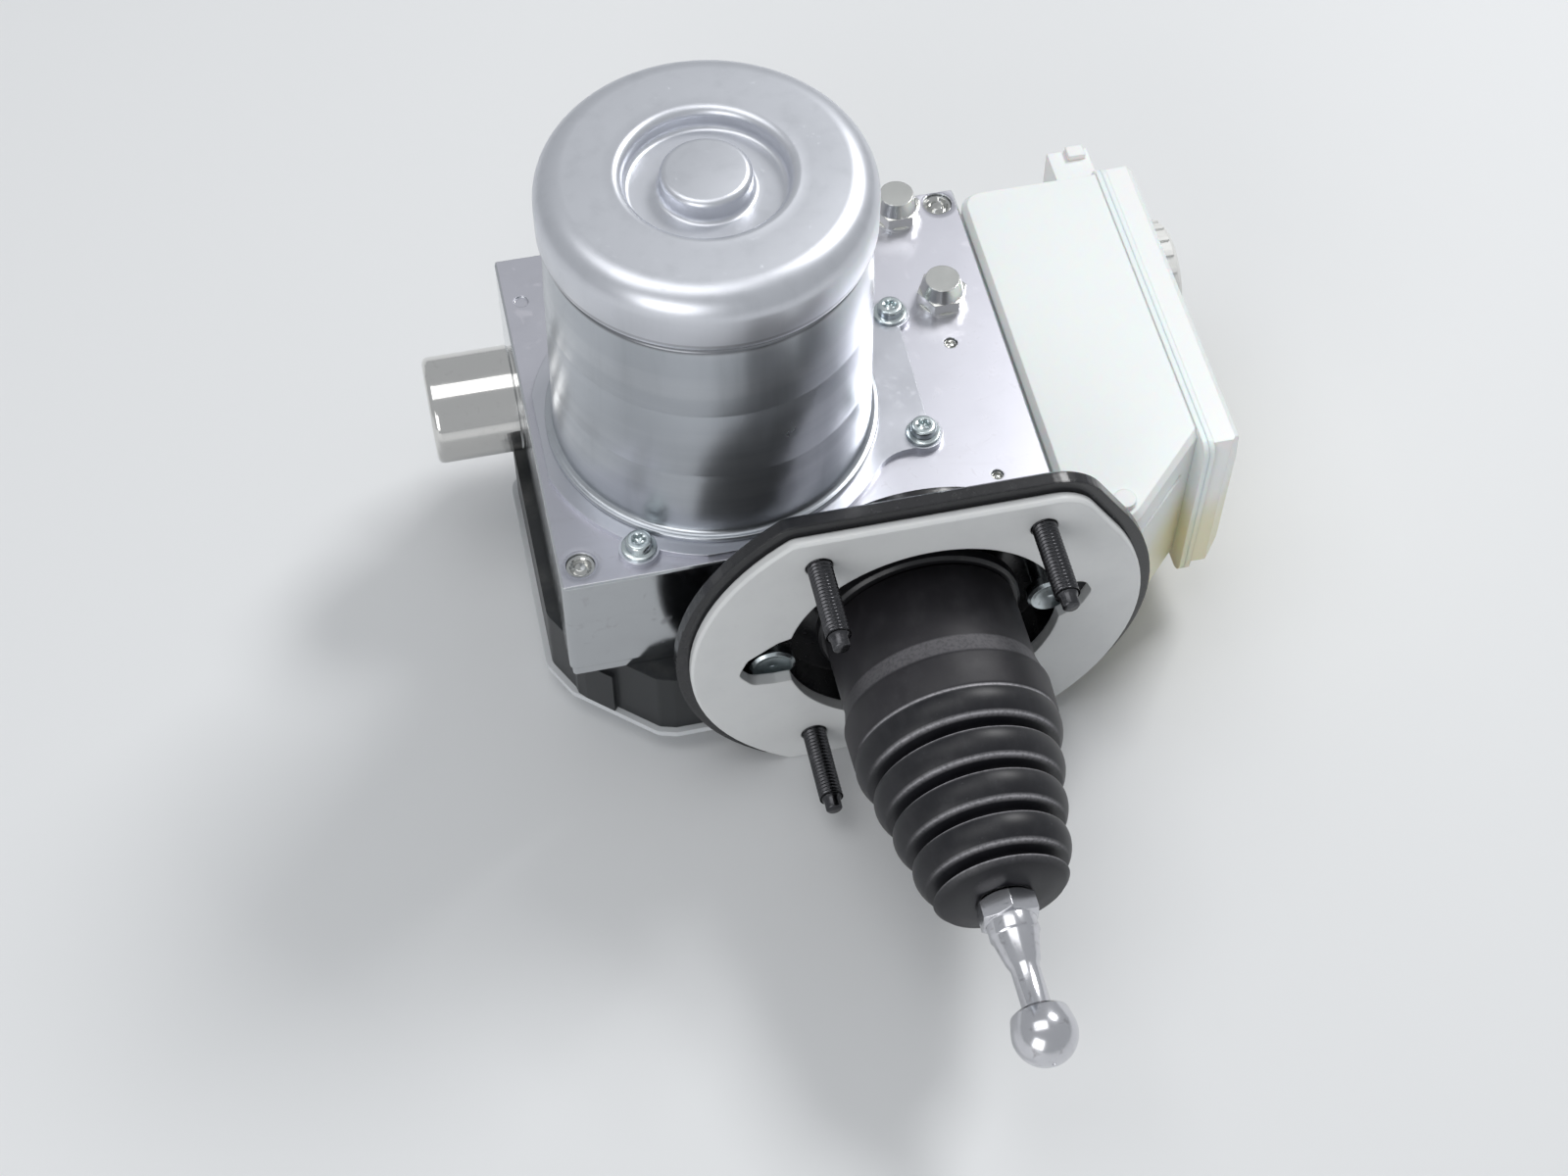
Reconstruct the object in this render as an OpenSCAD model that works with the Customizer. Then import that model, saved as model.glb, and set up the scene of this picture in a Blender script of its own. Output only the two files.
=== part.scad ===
// Electronic brake booster: a hydraulic block that carries the pedal rod, the motor, the pedal
// simulator, the fluid reservoir and the control unit. The origin lies on the pedal rod's axis, in
// the face that meets the bulkhead. -Y points to the pedal, +X to the reservoir and +Z along the motor.

/* [Hydraulic block] */
// Width of the block, along X
block_w = 159.6; // [154:0.2:166]
// Length of the block, along Y
block_l = 137.9; // [134:0.1:144]
// Height of the block, along Z
block_h = 49.5; // [47:0.5:53]
// Height of the block's top face above the rod's axis
block_top = 27.7; // [26:0.1:30]
// Distance from the rod's axis to the block's reservoir side
block_right = 48.8; // [47:0.2:52]
// Distance from the bulkhead face to the block's front face
block_front = 21.6; // [20:0.2:25]
// Radius of the brake line ports' bores
port_r = 5; // [4.5:0.1:6]
// Depth of the brake line ports' full bore
port_l = 13; // [11:0.5:14]

/* [Mounting plate] */
// Radius of the plate's round sides
plate_r = 73.3; // [72:0.1:76]
// Offset of the plate's centre from the rod's axis
plate_x = -2; // [-4:0.1:0]
// Height of the plate's top edge above the rod's axis
plate_top = 59.75; // [58:0.25:63]
// Depth of the plate's bottom edge below the rod's axis
plate_bottom = 61.75; // [60:0.25:63]
// Thickness of the plate
plate_t = 4; // [3:0.2:5]
// Radius of the plate's round opening
opening_r = 44.7; // [43:0.1:46]
// Half of the stud spacing along X
stud_x = 35; // [34:0.5:37]
// Half of the stud spacing along Z
stud_z = 47.5; // [46.5:0.5:49]
// Thread radius of the studs
stud_r = 4; // [3:0.5:5]
// Length of the studs beyond the plate
stud_out = 30; // [22:1:36]
// Thickness of the bracket's rim
bracket_t = 5.3; // [4:0.1:5.6]
// Overhang of the bracket's rim beyond the plate
rim_over = 4; // [2:0.2:5]

/* [Master cylinder] */
// Radius of the master cylinder's bore
bore_r = 11.9; // [11:0.1:12.5]
// Length of the bore inside the block
bore_l = 118; // [116:0.5:124]
// Travel of the pedal rod
stroke = 36; // [30:1:36]
// Length of the primary piston
primary_l = 71; // [69:0.5:73]
// Length of the secondary piston
secondary_l = 32; // [31:0.5:34]
// Radius of the input sleeve that the boot sits on
sleeve_r = 27.5; // [26:0.1:28.4]
// Length of the sleeve beyond the bulkhead face
sleeve_out = 22; // [18:0.5:24]

/* [Pedal rod] */
// Radius of the rod
rod_r = 4.6; // [4:0.1:4.8]
// Radius of the rod's inner ball
pivot_ball_r = 6.4; // [6:0.1:6.8]
// Width of the hexagon across its flats
hex_w = 15.4; // [14:0.1:17]
// Radius of the ball at the pedal end
ball_r = 9.8; // [9:0.1:11]
// Radius of the neck behind the ball
neck_r = 4.25; // [3.5:0.05:5]
// Distance from the bulkhead face to the ball's centre
ball_out = 140.5; // [136:0.5:146]

/* [Dust boot] */
// Outer radius of the boot's cuff
cuff_r = 31; // [30.4:0.1:32]
// Outer radius of the first fold
first_fold_r = 32.2; // [31.4:0.1:33]
// Outer radius of the last fold
last_fold_r = 21; // [19:0.1:22]
// Number of folds
folds = 5; // [3:1:5]
// Distance from fold to fold
fold_pitch = 13; // [12.4:0.1:13.2]
// Depth of the grooves between the folds
fold_depth = 5; // [3:0.1:6]
// Thickness of the rubber
boot_wall = 2.1; // [1.5:0.1:2.2]

/* [Motor] */
// Distance of the motor's axis from the block's left side
motor_in = 59.1; // [58:0.1:60.5]
// Distance of the motor's axis behind the bulkhead face
motor_back = 80.6; // [79:0.1:82]
// Radius of the motor can's cap
can_r = 50.6; // [50:0.1:52]
// Height of the motor can above the block
can_h = 110.6; // [106:0.2:116]
// Sheet thickness of the can
can_wall = 1.6; // [1.2:0.1:2]
// Radius of the can's shoulder
shoulder_r = 9; // [6:0.5:11]
// Radius of the recess in the can's top
recess_r = 25.8; // [24:0.1:28]
// Depth of the recess
recess_h = 7; // [5:0.5:8]
// Radius of the boss in the recess
boss_r = 13.6; // [13:0.1:15]
// Thickness of the motor's flange
flange_t = 2.4; // [2:0.1:3.5]
// Number of stator teeth
teeth = 12; // [9:3:12]
// Number of rotor magnets
magnets = 10; // [8:2:14]
// Height of the stator and the magnets
core_h = 45; // [40:1:48]

/* [Ball screw] */
// Radius of the screw spindle
spindle_r = 7; // [6:0.1:7.5]
// Outer radius of the ball nut
nut_r = 11; // [10:0.1:11.4]
// Length of the ball nut
nut_l = 36; // [30:1:40]
// Radius of the pressure plunger
plunger_r = 13.94; // [13:0.02:14.5]
// Length of the pressure plunger
plunger_l = 24; // [22:0.5:25]
// Travel of the pressure plunger
plunger_travel = 19; // [16:0.5:19]

/* [Pedal simulator] */
// Distance of the simulator's axis behind the bulkhead face
sim_back = 118.6; // [117:0.1:121]
// Height of the simulator's axis above the rod's axis
sim_up = 4.7; // [3:0.1:6]
// Outer radius of the simulator's housing
sim_r = 17.9; // [17:0.1:19]
// Length of the housing beyond the block
sim_out = 29.9; // [28:0.1:34]
// Bore radius of the simulator
sim_bore_r = 12; // [11:0.1:12.6]

/* [Reservoir] */
// Distance from the rod's axis to the reservoir's inner wall
tank_left = 50; // [50:0.1:50.8]
// Width of the lower shell, along X
tank_w = 51; // [48:0.5:56]
// Width of the upper shell, along X
tank_top_w = 11.5; // [10:0.5:15]
// Distance from the bulkhead face to the reservoir's back wall
tank_back = 157; // [154:0.5:160]
// Distance from the bulkhead face to the reservoir's front wall
tank_front = 10; // [10:0.1:13]
// Height of the reservoir's top face above the rod's axis
tank_up = 28; // [27:0.5:31]
// Depth of the reservoir's bottom below the rod's axis
tank_down = 38; // [35:0.5:42]
// Wall thickness of the reservoir
tank_wall = 2.4; // [1.8:0.1:3]
// Radius of the filler cap
cap_r = 20; // [19:0.5:22]

/* [Control unit] */
// Overhang of the control unit beyond the block's left side
ecu_over = 5.9; // [4:0.1:8]
// Distance from the block's right side to the control unit's right edge
ecu_in = 4.8; // [3:0.1:6]
// Distance from the block's back face to the control unit's back edge
ecu_short = 31.5; // [28:0.5:33]
// Height of the control unit's housing
ecu_h = 28.7; // [27:0.1:29]
// Wall thickness of the housing
ecu_wall = 3; // [2.4:0.1:3.4]
// Sheet thickness of the cover
cover_t = 2.5; // [1.5:0.1:3]
// Radius of the valve coils
coil_r = 8.5; // [7.5:0.1:8.8]
// Radius of the valve cartridges in the block
valve_r = 4.6; // [4:0.1:4.8]

/* [Clearances] */
// Radial clearance of sliding and turning fits
run_gap = 0.06; // [0.03:0.01:0.1]
// Radial clearance of screws, pins and inserts in their holes
loose_gap = 0.15; // [0.1:0.01:0.3]
// Distance kept between pieces that don't touch
air_gap = 0.3; // [0.3:0.01:0.5]

/* [Hidden] */
$fn = 72;

// Edges of the block
block_left = block_right - block_w;
block_back = block_front + block_l;
block_bottom = block_top - block_h;
bore_end = block_front + bore_l;

// Mounting plate, bracket and studs
bracket_front = plate_t;
bracket_back = bracket_front + bracket_t;
bolt_spots = [[-48, -12], [43.2, 0]];
bolt_r = 4;
bolt_head_r = 7.6;
bolt_head_h = 3.6;
bolt_neck_r = 4.6;
bolt_front = plate_t + 1.3;
bolt_l = 20;
floor_t = 4;
hat_wall = 1.5;
bracket_floor = block_front - floor_t;
left_slot = [
    [-41, 12], [-47.5, 9.9], [-57.3, 2.6], [-60.2, -5.2], [-55.6, -11.8], [-48, -12.9], [-38, -12.6]
];
right_slot = [
    [38, -7], [45.2, -3.4], [51.6, 0.8], [54.4, 8], [51.8, 13.8], [46.5, 15], [41, 17]
];
slot_rounding = [0, 4, 4, 4, 4, 4, 0];
stud_neck_r = stud_r + 0.2;
stud_head_r = 6.5;
stud_head_h = 2.4;
plate_z = -1;
plate_corner_r = 6;
lobe_z = 46;
lobe_out = 2.4;
collar_front = plate_t + 1.3;
collar_r = cuff_r + 2;
neck_out = 20;

// Pistons in the master cylinder
piston_r = bore_r - run_gap;
primary_rear = -15;
primary_front = primary_rear + primary_l;
secondary_rear = primary_front + 0.4 * stroke + 1.6;
secondary_front = secondary_rear + secondary_l;
pivot_y = primary_rear + 11;
cup_r = 8.4;
primary_cup = 12;
secondary_cup = 9;
secondary_seat = 14;
seal_w = 3;
seal_depth = 2.4;
primary_seals = [block_front + 8.4, block_front + 22.4];
secondary_seals = [secondary_rear + 23, secondary_rear + 28];
piston_wire = 1.1;
piston_coil_r = 6.6;

// Pedal rod
flange_y = -97;
hex_y = flange_y - 1;
collar_y = hex_y - 4.5;
cone_y = collar_y - 4.5;
neck_y = cone_y - 9.5;
head_y = -ball_out + ball_r + 1.7;
rod_flange_r = 9.3;
rod_collar_r = 7.65;
rod_thread_r = 4;
rod_thread_l = 16;
grease_r = 1;

// Boot
cuff_back = 4.6;
cuff_front = -21.5;
band_y = -29.4;
band_r = cuff_r + 2.1;
first_fold_y = -41.2;
boot_end = flange_y + 0.5;
boot_hole_r = 8;
fold_shape = [
    [0, 0], [0.1, 0.08], [0.34, 0.15], [0.56, 0.11], [0.67, 0], [0.71, -0.12],
    [0.81, -0.82], [0.88, -1], [0.94, -0.72]
];

// Motor
motor = [block_left + motor_in, motor_back];
can_z0 = block_top + flange_t;
can_top = block_top + can_h;
rim_r = can_r + 3.2;
rim_t = 1.8;
base_r = can_r + 0.6;
under_cap_r = can_r - 1;
cap_z = can_top - 21;
stator_z = block_top + 28;
stator_r = under_cap_r - can_wall - air_gap - 0.1;
yoke_w = 7.6;
tooth_w = 7;
tooth_l = 14;
air_r = stator_r - yoke_w - tooth_l;
winding_w = 3;
spigot_r = 25;
spigot_h = 4;
journal_r = 15;
bearing_r = 24;
bearing_z = block_top - 1;
bearing_h = 12;
stub_r = 6;
pocket_r = boss_r - can_wall - 0.4;
upper_bearing_z = can_top - 9;
upper_bearing_h = 7;
flange_r = can_r + 8;
flange_fillet = 14;
ear_r = 6.5;
ears = [[-123.74, 9.17], [-20.98, 17.84], [22.06, 19.97], [123.74, 9.17]];
ear_spots = [for (e = ears) (can_r + e[1]) * [cos(e[0]), sin(e[0])]];
screw_r = 2.5;
screw_head_r = 4.2;
washer_r = 5.6;
screw_l = 12;
terminal_r = 1.4;
terminal_at = 34;
terminal_angles = [166, 180, 194];

// Ball screw and pressure plunger
plunger_bore_r = plunger_r + run_gap;
plunger_top = block_top - 1.7;
plunger_bottom = plunger_top - plunger_l;
plunger_floor = plunger_bottom - plunger_travel - 0.8;
hub_bore_r = nut_r + 0.1;
hub_top = block_top + 76;
spindle_sink = 6;
spindle_l = 77.7;
spindle_z0 = plunger_top - spindle_sink;
nut_z0 = block_top + 8;
plunger_seal_z = plunger_bottom + 1.2;

// Pedal simulator
sim_piston_r = sim_bore_r - run_gap;
sim_travel = stroke * 5 / 9;
sim_piston_l = 20;
sim_piston_in = sim_travel + 4.8;
sim_piston_x = block_left + sim_piston_in;
sim_bore_end = sim_piston_x + sim_piston_l + 4;
sim_spigot_r = sim_r - 2.4;
sim_spigot_l = 8;
sim_end = block_left - sim_out;
sim_floor = sim_end + 3.8;
sim_wire = 1.4;
sim_coil_r = 7.2;
sim_cup = 10;

// Reservoir
tank_seam = tank_left + tank_w;
tank_edge = 2.4;
weld_t = 1.9;
weld_over = 2.2;
weld_front = 31;
upper_x0 = tank_seam + weld_t;
upper_x1 = tank_seam + tank_top_w + weld_t;
socket_y = [60, 116];
socket_z = 2;
socket_r = 9;
socket_l = 12;
nipple_r = 6;
grommet_r = socket_r - loose_gap;
cap_at = [133, -5];
neck_out_r = cap_r - 4;
neck_in_r = 12;
cap_h = 7.5;
cap_top_t = 2.4;
gasket_t = 1.6;
shroud_x = [tank_seam - 14.5, tank_seam];
shroud_z = [tank_up - 20, tank_up - 4];
shroud_l = 15;
shroud_wall = 1.8;
float_at = [76, -5];
float_r = 11;
float_h = 12;
guide_r = 3;

// Control unit
ecu_left = ecu_over - block_left;
ecu_right = block_right - ecu_in;
ecu_back = block_back - ecu_short;
ecu_top = block_bottom;
ecu_bottom = ecu_top - ecu_h;
ecu_roof = 2.2;
ecu_lip = 2;
cover_field = -plate_bottom;
cover_outline = [
    [-ecu_left, 47], [6.7 - ecu_left, 34.5], [-85, 13], [-79, 11.3], [-62, 11.3], [-56, 17],
    [-52, 22.5], [ecu_right, 22.5], [ecu_right, ecu_back], [-ecu_left, ecu_back]
];
cover_rounding = [8, 5, 5, 4, 4, 3, 3, 6, 6, 6];
field_outline = [
    [-ecu_left + 13, 54], [-84, 27], [-58, 27], [-50, 36], [ecu_right - 13, 36],
    [ecu_right - 13, ecu_back - 13], [-ecu_left + 13, ecu_back - 13]
];
board_z = ecu_bottom + 8;
board_t = 1.6;
coil_top = ecu_top - ecu_roof - air_gap;
front_row = block_front + 16.4;
back_row = block_back - 51.5;
valve_spots = [
    [block_left + 15.8, front_row + 4], [block_left + 33.8, front_row],
    [block_left + 52.8, front_row], [block_left + 76.8, front_row],
    [block_right - 20.8, front_row + 5], [block_right - 18.8, front_row + 24],
    [block_left + 14.8, back_row], [block_left + 33.8, back_row],
    [block_left + 52.8, back_row], [block_left + 76.8, back_row],
    [block_left + 98.8, back_row], [block_right - 18.8, back_row - 6]
];
sensor_spot = [block_left + 90.8, front_row + 24];
sensor_r = 6;
ecu_screw_spots = [
    [block_left + 5.8, 60], [block_left + 5.8, ecu_back - 7],
    [block_right - 12.8, ecu_back - 7], [block_right - 12.8, block_front + 8.4]
];
ecu_screw_r = 2;
ecu_boss_r = 5;
cover_screw_spots = [
    [6.2 - ecu_left, 88], [-75, ecu_back - 6.2], [20, ecu_back - 6.2], [ecu_right - 6, 80],
    [-15, 29], [-70, 18.6]
];
cover_screw_r = 1.5;
cover_screw_l = 10;
cover_post_r = 3.4;
ear_plan = [
    [7.4 - ecu_left, 39.5], [8.6 - ecu_left, 33.6], [11 - ecu_left, 30.9], [19.1 - ecu_left, 23.9],
    [22.5 - ecu_left, 28], [13.5 - ecu_left, 37]
];
socket_x = [-60, 8];
ecu_socket_z = [ecu_bottom + 2, ecu_top - 2.6];
ecu_socket_l = 22;
pin_l = 14;
pin_pitch = 3.4;
pin_rise = 4;
blade_w = 6;
blade_pitch = 11;

// Points of an arc round c from angle a0 to a1
function arc(c, r, a0, a1, n) =
    [for (i = [0:n]) let (a = a0 + (a1 - a0) * i / n) [c[0] + r * cos(a), c[1] + r * sin(a)]];

// Direction from p to q
function unit(p, q) = (q - p) / norm(q - p);

// Signed turn from angle a to angle b, within half a turn
function turn(a, b) = let (d = b - a) d > 180 ? d - 360 : d < -180 ? d + 360 : d;

// One corner of an outline, rounded with radius r
function corner(a, p, b, r, n) =
    r <= 0 ? [p] :
    let (u = unit(p, a), v = unit(p, b), half = acos(max(-1, min(1, u * v))) / 2)
    let (c = p + (u + v) / norm(u + v) * r / sin(half), reach = r / tan(half))
    let (s = p + u * reach - c, e = p + v * reach - c)
    let (a0 = atan2(s[1], s[0]), da = turn(a0, atan2(e[1], e[0])))
    arc(c, r, a0, a0 + da, n);

// An outline with rounded corners; radii is one number or a list
function rounded(pts, radii, n = 6) =
    let (k = len(pts))
    [for (i = [0:k - 1])
        each corner(pts[(i + k - 1) % k], pts[i], pts[(i + 1) % k],
            is_list(radii) ? radii[i] : radii, n)];

// A counter-clockwise outline moved inwards by d
function inset(pts, d) =
    let (k = len(pts))
    [for (i = [0:k - 1])
        let (e = unit(pts[(i + k - 1) % k], pts[i]), f = unit(pts[i], pts[(i + 1) % k]))
        let (n1 = [-e[1], e[0]], n2 = [-f[1], f[0]])
        pts[i] + (n1 + n2) * d / (1 + n1 * n2)];

// A rectangle from corner p to corner q
function box2(p, q) = [p, [q[0], p[1]], q, [p[0], q[1]]];

// A prism along Z over an outline in X and Y
module slab(pts, z0, z1) {
    translate([0, 0, z0]) linear_extrude(z1 - z0) polygon(pts);
}

// A prism along Y over an outline in X and Z
module yslab(pts, y0, y1) {
    translate([0, y1, 0]) rotate([90, 0, 0]) linear_extrude(y1 - y0) polygon(pts);
}

// A prism along X over an outline in Y and Z
module xslab(pts, x0, x1) {
    translate([x0, 0, 0]) rotate([90, 0, 90]) linear_extrude(x1 - x0) polygon(pts);
}

// Round bars along each axis, from one coordinate to another
module zbar(r, z0, z1, at = [0, 0]) {
    translate([at[0], at[1], z0]) cylinder(r = r, h = z1 - z0);
}

module ybar(r, y0, y1, at = [0, 0]) {
    translate([at[0], y0, at[1]]) rotate([-90, 0, 0]) cylinder(r = r, h = y1 - y0);
}

module xbar(r, x0, x1, at = [0, 0]) {
    translate([x0, at[0], at[1]]) rotate([0, 90, 0]) cylinder(r = r, h = x1 - x0);
}

// A body of revolution about the rod's axis; the profile is [radius, y]
module yturn(profile) {
    rotate([-90, 0, 0]) rotate_extrude() polygon(profile);
}

// A body of revolution about the motor's axis; the profile is [radius, z]
module motor_turn(profile) {
    translate([motor[0], motor[1], 0]) rotate_extrude() polygon(profile);
}

// A ring about a Z axis
module zring(r0, r1, z0, z1, at = [0, 0]) {
    difference() {
        zbar(r1, z0, z1, at);
        zbar(r0, z0 - 1, z1 + 1, at);
    }
}

// A compression spring along Z, as one swept wire
module coil(r, wire, length, turns, steps = 16, sides = 8) {
    count = turns * steps;
    rise = (length - 2 * wire) / count;
    rings = [for (k = [0:count])
        let (a = 360 * k / steps, u = [cos(a), sin(a), 0])
        let (t = [-sin(a) * 2 * PI * r / steps, cos(a) * 2 * PI * r / steps, rise])
        let (b = cross(t / norm(t), u))
        for (s = [0:sides - 1])
            u * r + [0, 0, wire + rise * k]
                + (u * cos(360 * s / sides) + b * sin(360 * s / sides)) * wire];
    sides_faces = [for (k = [0:count - 1], s = [0:sides - 1])
        [k * sides + s, (k + 1) * sides + s, (k + 1) * sides + (s + 1) % sides,
            k * sides + (s + 1) % sides]];
    start = [for (s = [0:sides - 1]) s];
    end = [for (s = [sides - 1:-1:0]) count * sides + s];
    polyhedron(rings, concat(sides_faces, [start, end]), convexity = 8);
}

// A hexagonal prism along Z
module hexagon(flats, z0, z1, at = [0, 0]) {
    translate([at[0], at[1], z0]) cylinder(r = flats / sqrt(3), h = z1 - z0, $fn = 6);
}

module hydraulic_block() {
    plan = rounded(box2([block_left, block_front], [block_right, block_back]), 2);
    color([0.8, 0.8, 0.84]) difference() {
        union() {
            slab(plan, block_bottom + 4.5, block_top);
            slab(inset(plan, 0.8), block_bottom, block_bottom + 4.5);
        }
        top_chamfers(0.7);
        ybar(bore_r, block_front - 1, bore_end);
        ybar(16.8 + loose_gap, block_front - 1, block_front + 6);
        for (y = concat(primary_seals, secondary_seals))
            ybar(bore_r + seal_depth + loose_gap, y, y + seal_w);
        zbar(plunger_bore_r, plunger_floor, block_top + 1, motor);
        zbar(plunger_bore_r + seal_depth + loose_gap, plunger_seal_z,
            plunger_seal_z + seal_w, motor);
        zbar(spigot_r, block_top - spigot_h - 0.2, block_top + 1, motor);
        xbar(sim_bore_r, block_left - 1, sim_bore_end, [sim_back, sim_up]);
        xbar(sim_spigot_r + loose_gap, block_left - 1, block_left + sim_spigot_l,
            [sim_back, sim_up]);
        terminal_holes(block_bottom - 1, block_top + 1);
        ear_holes(screw_r + loose_gap, block_top - screw_l - 1, block_top + 1);
        for (b = bolt_spots)
            ybar(bolt_r + loose_gap, block_front - 1, block_front + bolt_l, b);
        for (v = valve_spots)
            zbar(valve_r + loose_gap, block_bottom - 1, block_bottom + 9.4, v);
        zbar(sensor_r - 1.5 + loose_gap, block_bottom - 1, block_bottom + 7.4, sensor_spot);
        for (s = ecu_screw_spots)
            zbar(ecu_screw_r + loose_gap, block_bottom - 1, block_bottom + 9.5, s);
        for (y = socket_y)
            xbar(socket_r, block_right - socket_l, block_right + 1, [y, socket_z]);
        port_bores();
        plug_pockets();
    }
}

// Cuts that break the block's top edges by c
module top_chamfers(c) {
    far = 400;
    side = [[-1, block_top - c - 1], [c + 1, block_top + 1], [-1, block_top + 1]];
    translate([block_left, 0, 0]) yslab(side, 0, far);
    translate([block_right, 0, 0]) mirror([1, 0, 0]) yslab(side, 0, far);
    translate([0, block_front, 0]) xslab(side, -far, far);
    translate([0, block_back, 0]) mirror([0, 1, 0]) xslab(side, -far, far);
}

// The four brake line ports in the back face
port_x = [for (i = [0:3]) block_left + 18.8 + 26 * i];
port_z = 6;
module port_bores() {
    for (x = port_x) {
        ybar(port_r, block_back - port_l, block_back + 1, [x, port_z]);
        ybar(port_r / 2, block_back - port_l - 4, block_back - port_l + 1, [x, port_z]);
    }
}

// Pressed plugs that close drillings in the top face: x, y, radius
flat_plugs = [
    [block_left + 7.1, block_front + 8.1, 4.6], [block_right - 6.8, block_back - 5.9, 4.9],
    [block_right - 17.9, block_back - 67, 2.3], [block_right - 17, block_front + 15.1, 2]
];
dimple = [block_left + 6.2, block_back - 19.8];
plug_l = 5;
plug_sink = 0.8;
module plug_pockets() {
    for (p = flat_plugs)
        zbar(p[2], block_top - plug_l, block_top + 1, [p[0], p[1]]);
    for (h = hex_plug_spots)
        zbar(hex_plug_w / 2 - 1.6 + loose_gap, block_top - 8, block_top + 1, h);
    zbar(2.4, block_top - 0.6, block_top + 1, dimple);
}

module bore_plugs() {
    color([0.75, 0.75, 0.78])
        for (p = flat_plugs) {
            r = p[2] - loose_gap;
            face = plug_l - plug_sink;
            translate([p[0], p[1], block_top - plug_l]) rotate_extrude()
                polygon([[0, 0], [r, 0], [r, face], [r * 0.8, face],
                    [r * 0.62, face - plug_sink * 1.4], [r * 0.35, face - plug_sink * 0.2],
                    [0, face]]);
        }
}

// Two raised hexagon plugs near the reservoir
hex_plug_spots = [[block_right - 16.5, block_back - 48.5], [block_right - 22.3, block_back - 8.3]];
hex_plug_w = 14.6;
hex_plug_h = 11;
module hex_plugs() {
    color([0.72, 0.72, 0.74])
        for (h = hex_plug_spots) {
            zbar(hex_plug_w / 2 - 1.6, block_top - 7.8, block_top, h);
            zbar(hex_plug_w / 2 + 0.6, block_top, block_top + 1.6, h);
            hexagon(hex_plug_w, block_top + 1.6, block_top + 6, h);
            translate([h[0], h[1], block_top + 6])
                cylinder(r1 = hex_plug_w / 2, r2 = hex_plug_w / 2 - 1.6, h = hex_plug_h - 6);
        }
}

// Centre of a rounding k between a circle of radius r and a flat h from the circle's centre
function seat(r, k, h) = [sqrt(pow(r - k, 2) - pow(h - k, 2)), h - k];

// Outline of the mounting plate, grown by d except at the bottom. One top corner reaches out
// past the round side, over its stud.
function plate_outline(d) =
    let (r = plate_r + d, c = [plate_x, plate_z], top = plate_top + d - plate_z)
    let (low = plate_bottom + plate_z, k = top - lobe_z)
    let (lobe = [sqrt(pow(r - k + lobe_out, 2) - pow(lobe_z, 2)), lobe_z])
    let (tangent = atan2(lobe[1], lobe[0]) - acos((r - k) / norm(lobe)))
    let (t = seat(r, plate_corner_r + d, top), b = seat(r, plate_corner_r, low))
    let (ta = atan2(t[1], t[0]), ba = atan2(b[1], b[0]))
    concat(
        arc(c, r, 2 - ba, tangent - 2, 22), arc(c + lobe, k, tangent, 90, 8),
        arc(c + [-t[0], t[1]], plate_corner_r + d, 90, 180 - ta, 5),
        arc(c, r, 182 - ta, 178 + ba, 26),
        arc(c - b, plate_corner_r, 180 + ba, 270, 5),
        arc(c + [b[0], -b[1]], plate_corner_r, 270, 360 - ba, 5));

// The opening with a slot beside it for each bolt, as a cut along Y
module plate_opening(y0, y1) {
    ybar(opening_r, y0, y1);
    yslab(rounded(left_slot, slot_rounding), y0, y1);
    yslab(rounded(right_slot, slot_rounding), y0, y1);
}

module stud_holes(r, y0, y1) {
    for (x = [-stud_x, stud_x], z = [-stud_z, stud_z])
        ybar(r, y0, y1, [x, z]);
}

module mounting_plate() {
    edge = 0.9;
    outline = plate_outline(0);
    color([0.8, 0.82, 0.84]) difference() {
        hull() {
            yslab(outline, edge, plate_t - edge);
            yslab(inset(outline, edge), 0, plate_t);
        }
        plate_opening(-1, plate_t + 1);
        stud_holes(stud_neck_r + loose_gap, -1, plate_t + 1);
    }
}

// Drawn drum that joins the bracket's rim to the block, with a wing for each bolt
module drum(gap, y0, y1) {
    wings = box2([-62, block_bottom + 0.5], [block_right + 0.8, 14]);
    ybar(opening_r + 3.2 - gap, y0, y1);
    yslab(rounded(inset(wings, gap), 9 - gap), y0, y1);
}

module mounting_bracket() {
    edge = 1.4;
    outline = plate_outline(rim_over);
    color([0.09, 0.09, 0.1]) difference() {
        union() {
            hull() {
                yslab(outline, bracket_front, bracket_back - edge);
                yslab(inset(outline, edge), bracket_front, bracket_back);
            }
            drum(0, bracket_back - 1, block_front);
        }
        drum(hat_wall, bracket_front - 1, bracket_floor);
        ybar(neck_out + air_gap, bracket_floor - 1, block_front + 1);
        for (b = bolt_spots)
            ybar(bolt_r + loose_gap, bracket_floor - 1, block_front + 1, b);
        for (b = bolt_spots)
            ybar(bolt_head_r + 0.5, bracket_front - 1, bracket_back, b);
        stud_holes(stud_neck_r + loose_gap, bracket_front - 1, bracket_back + 1);
    }
}

module mounting_studs() {
    tip = 4;
    color([0.06, 0.06, 0.07])
        for (x = [-stud_x, stud_x], z = [-stud_z, stud_z])
            translate([x, 0, z]) yturn([
                [0, -stud_out], [stud_r * 0.62, -stud_out], [stud_r * 0.68, -stud_out + tip - 1],
                [stud_r, -stud_out + tip + 0.6], [stud_r, 0], [stud_neck_r, 0],
                [stud_neck_r, bracket_back],
                [stud_head_r, bracket_back], [stud_head_r, bracket_back + stud_head_h],
                [0, bracket_back + stud_head_h]]);
}

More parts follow.
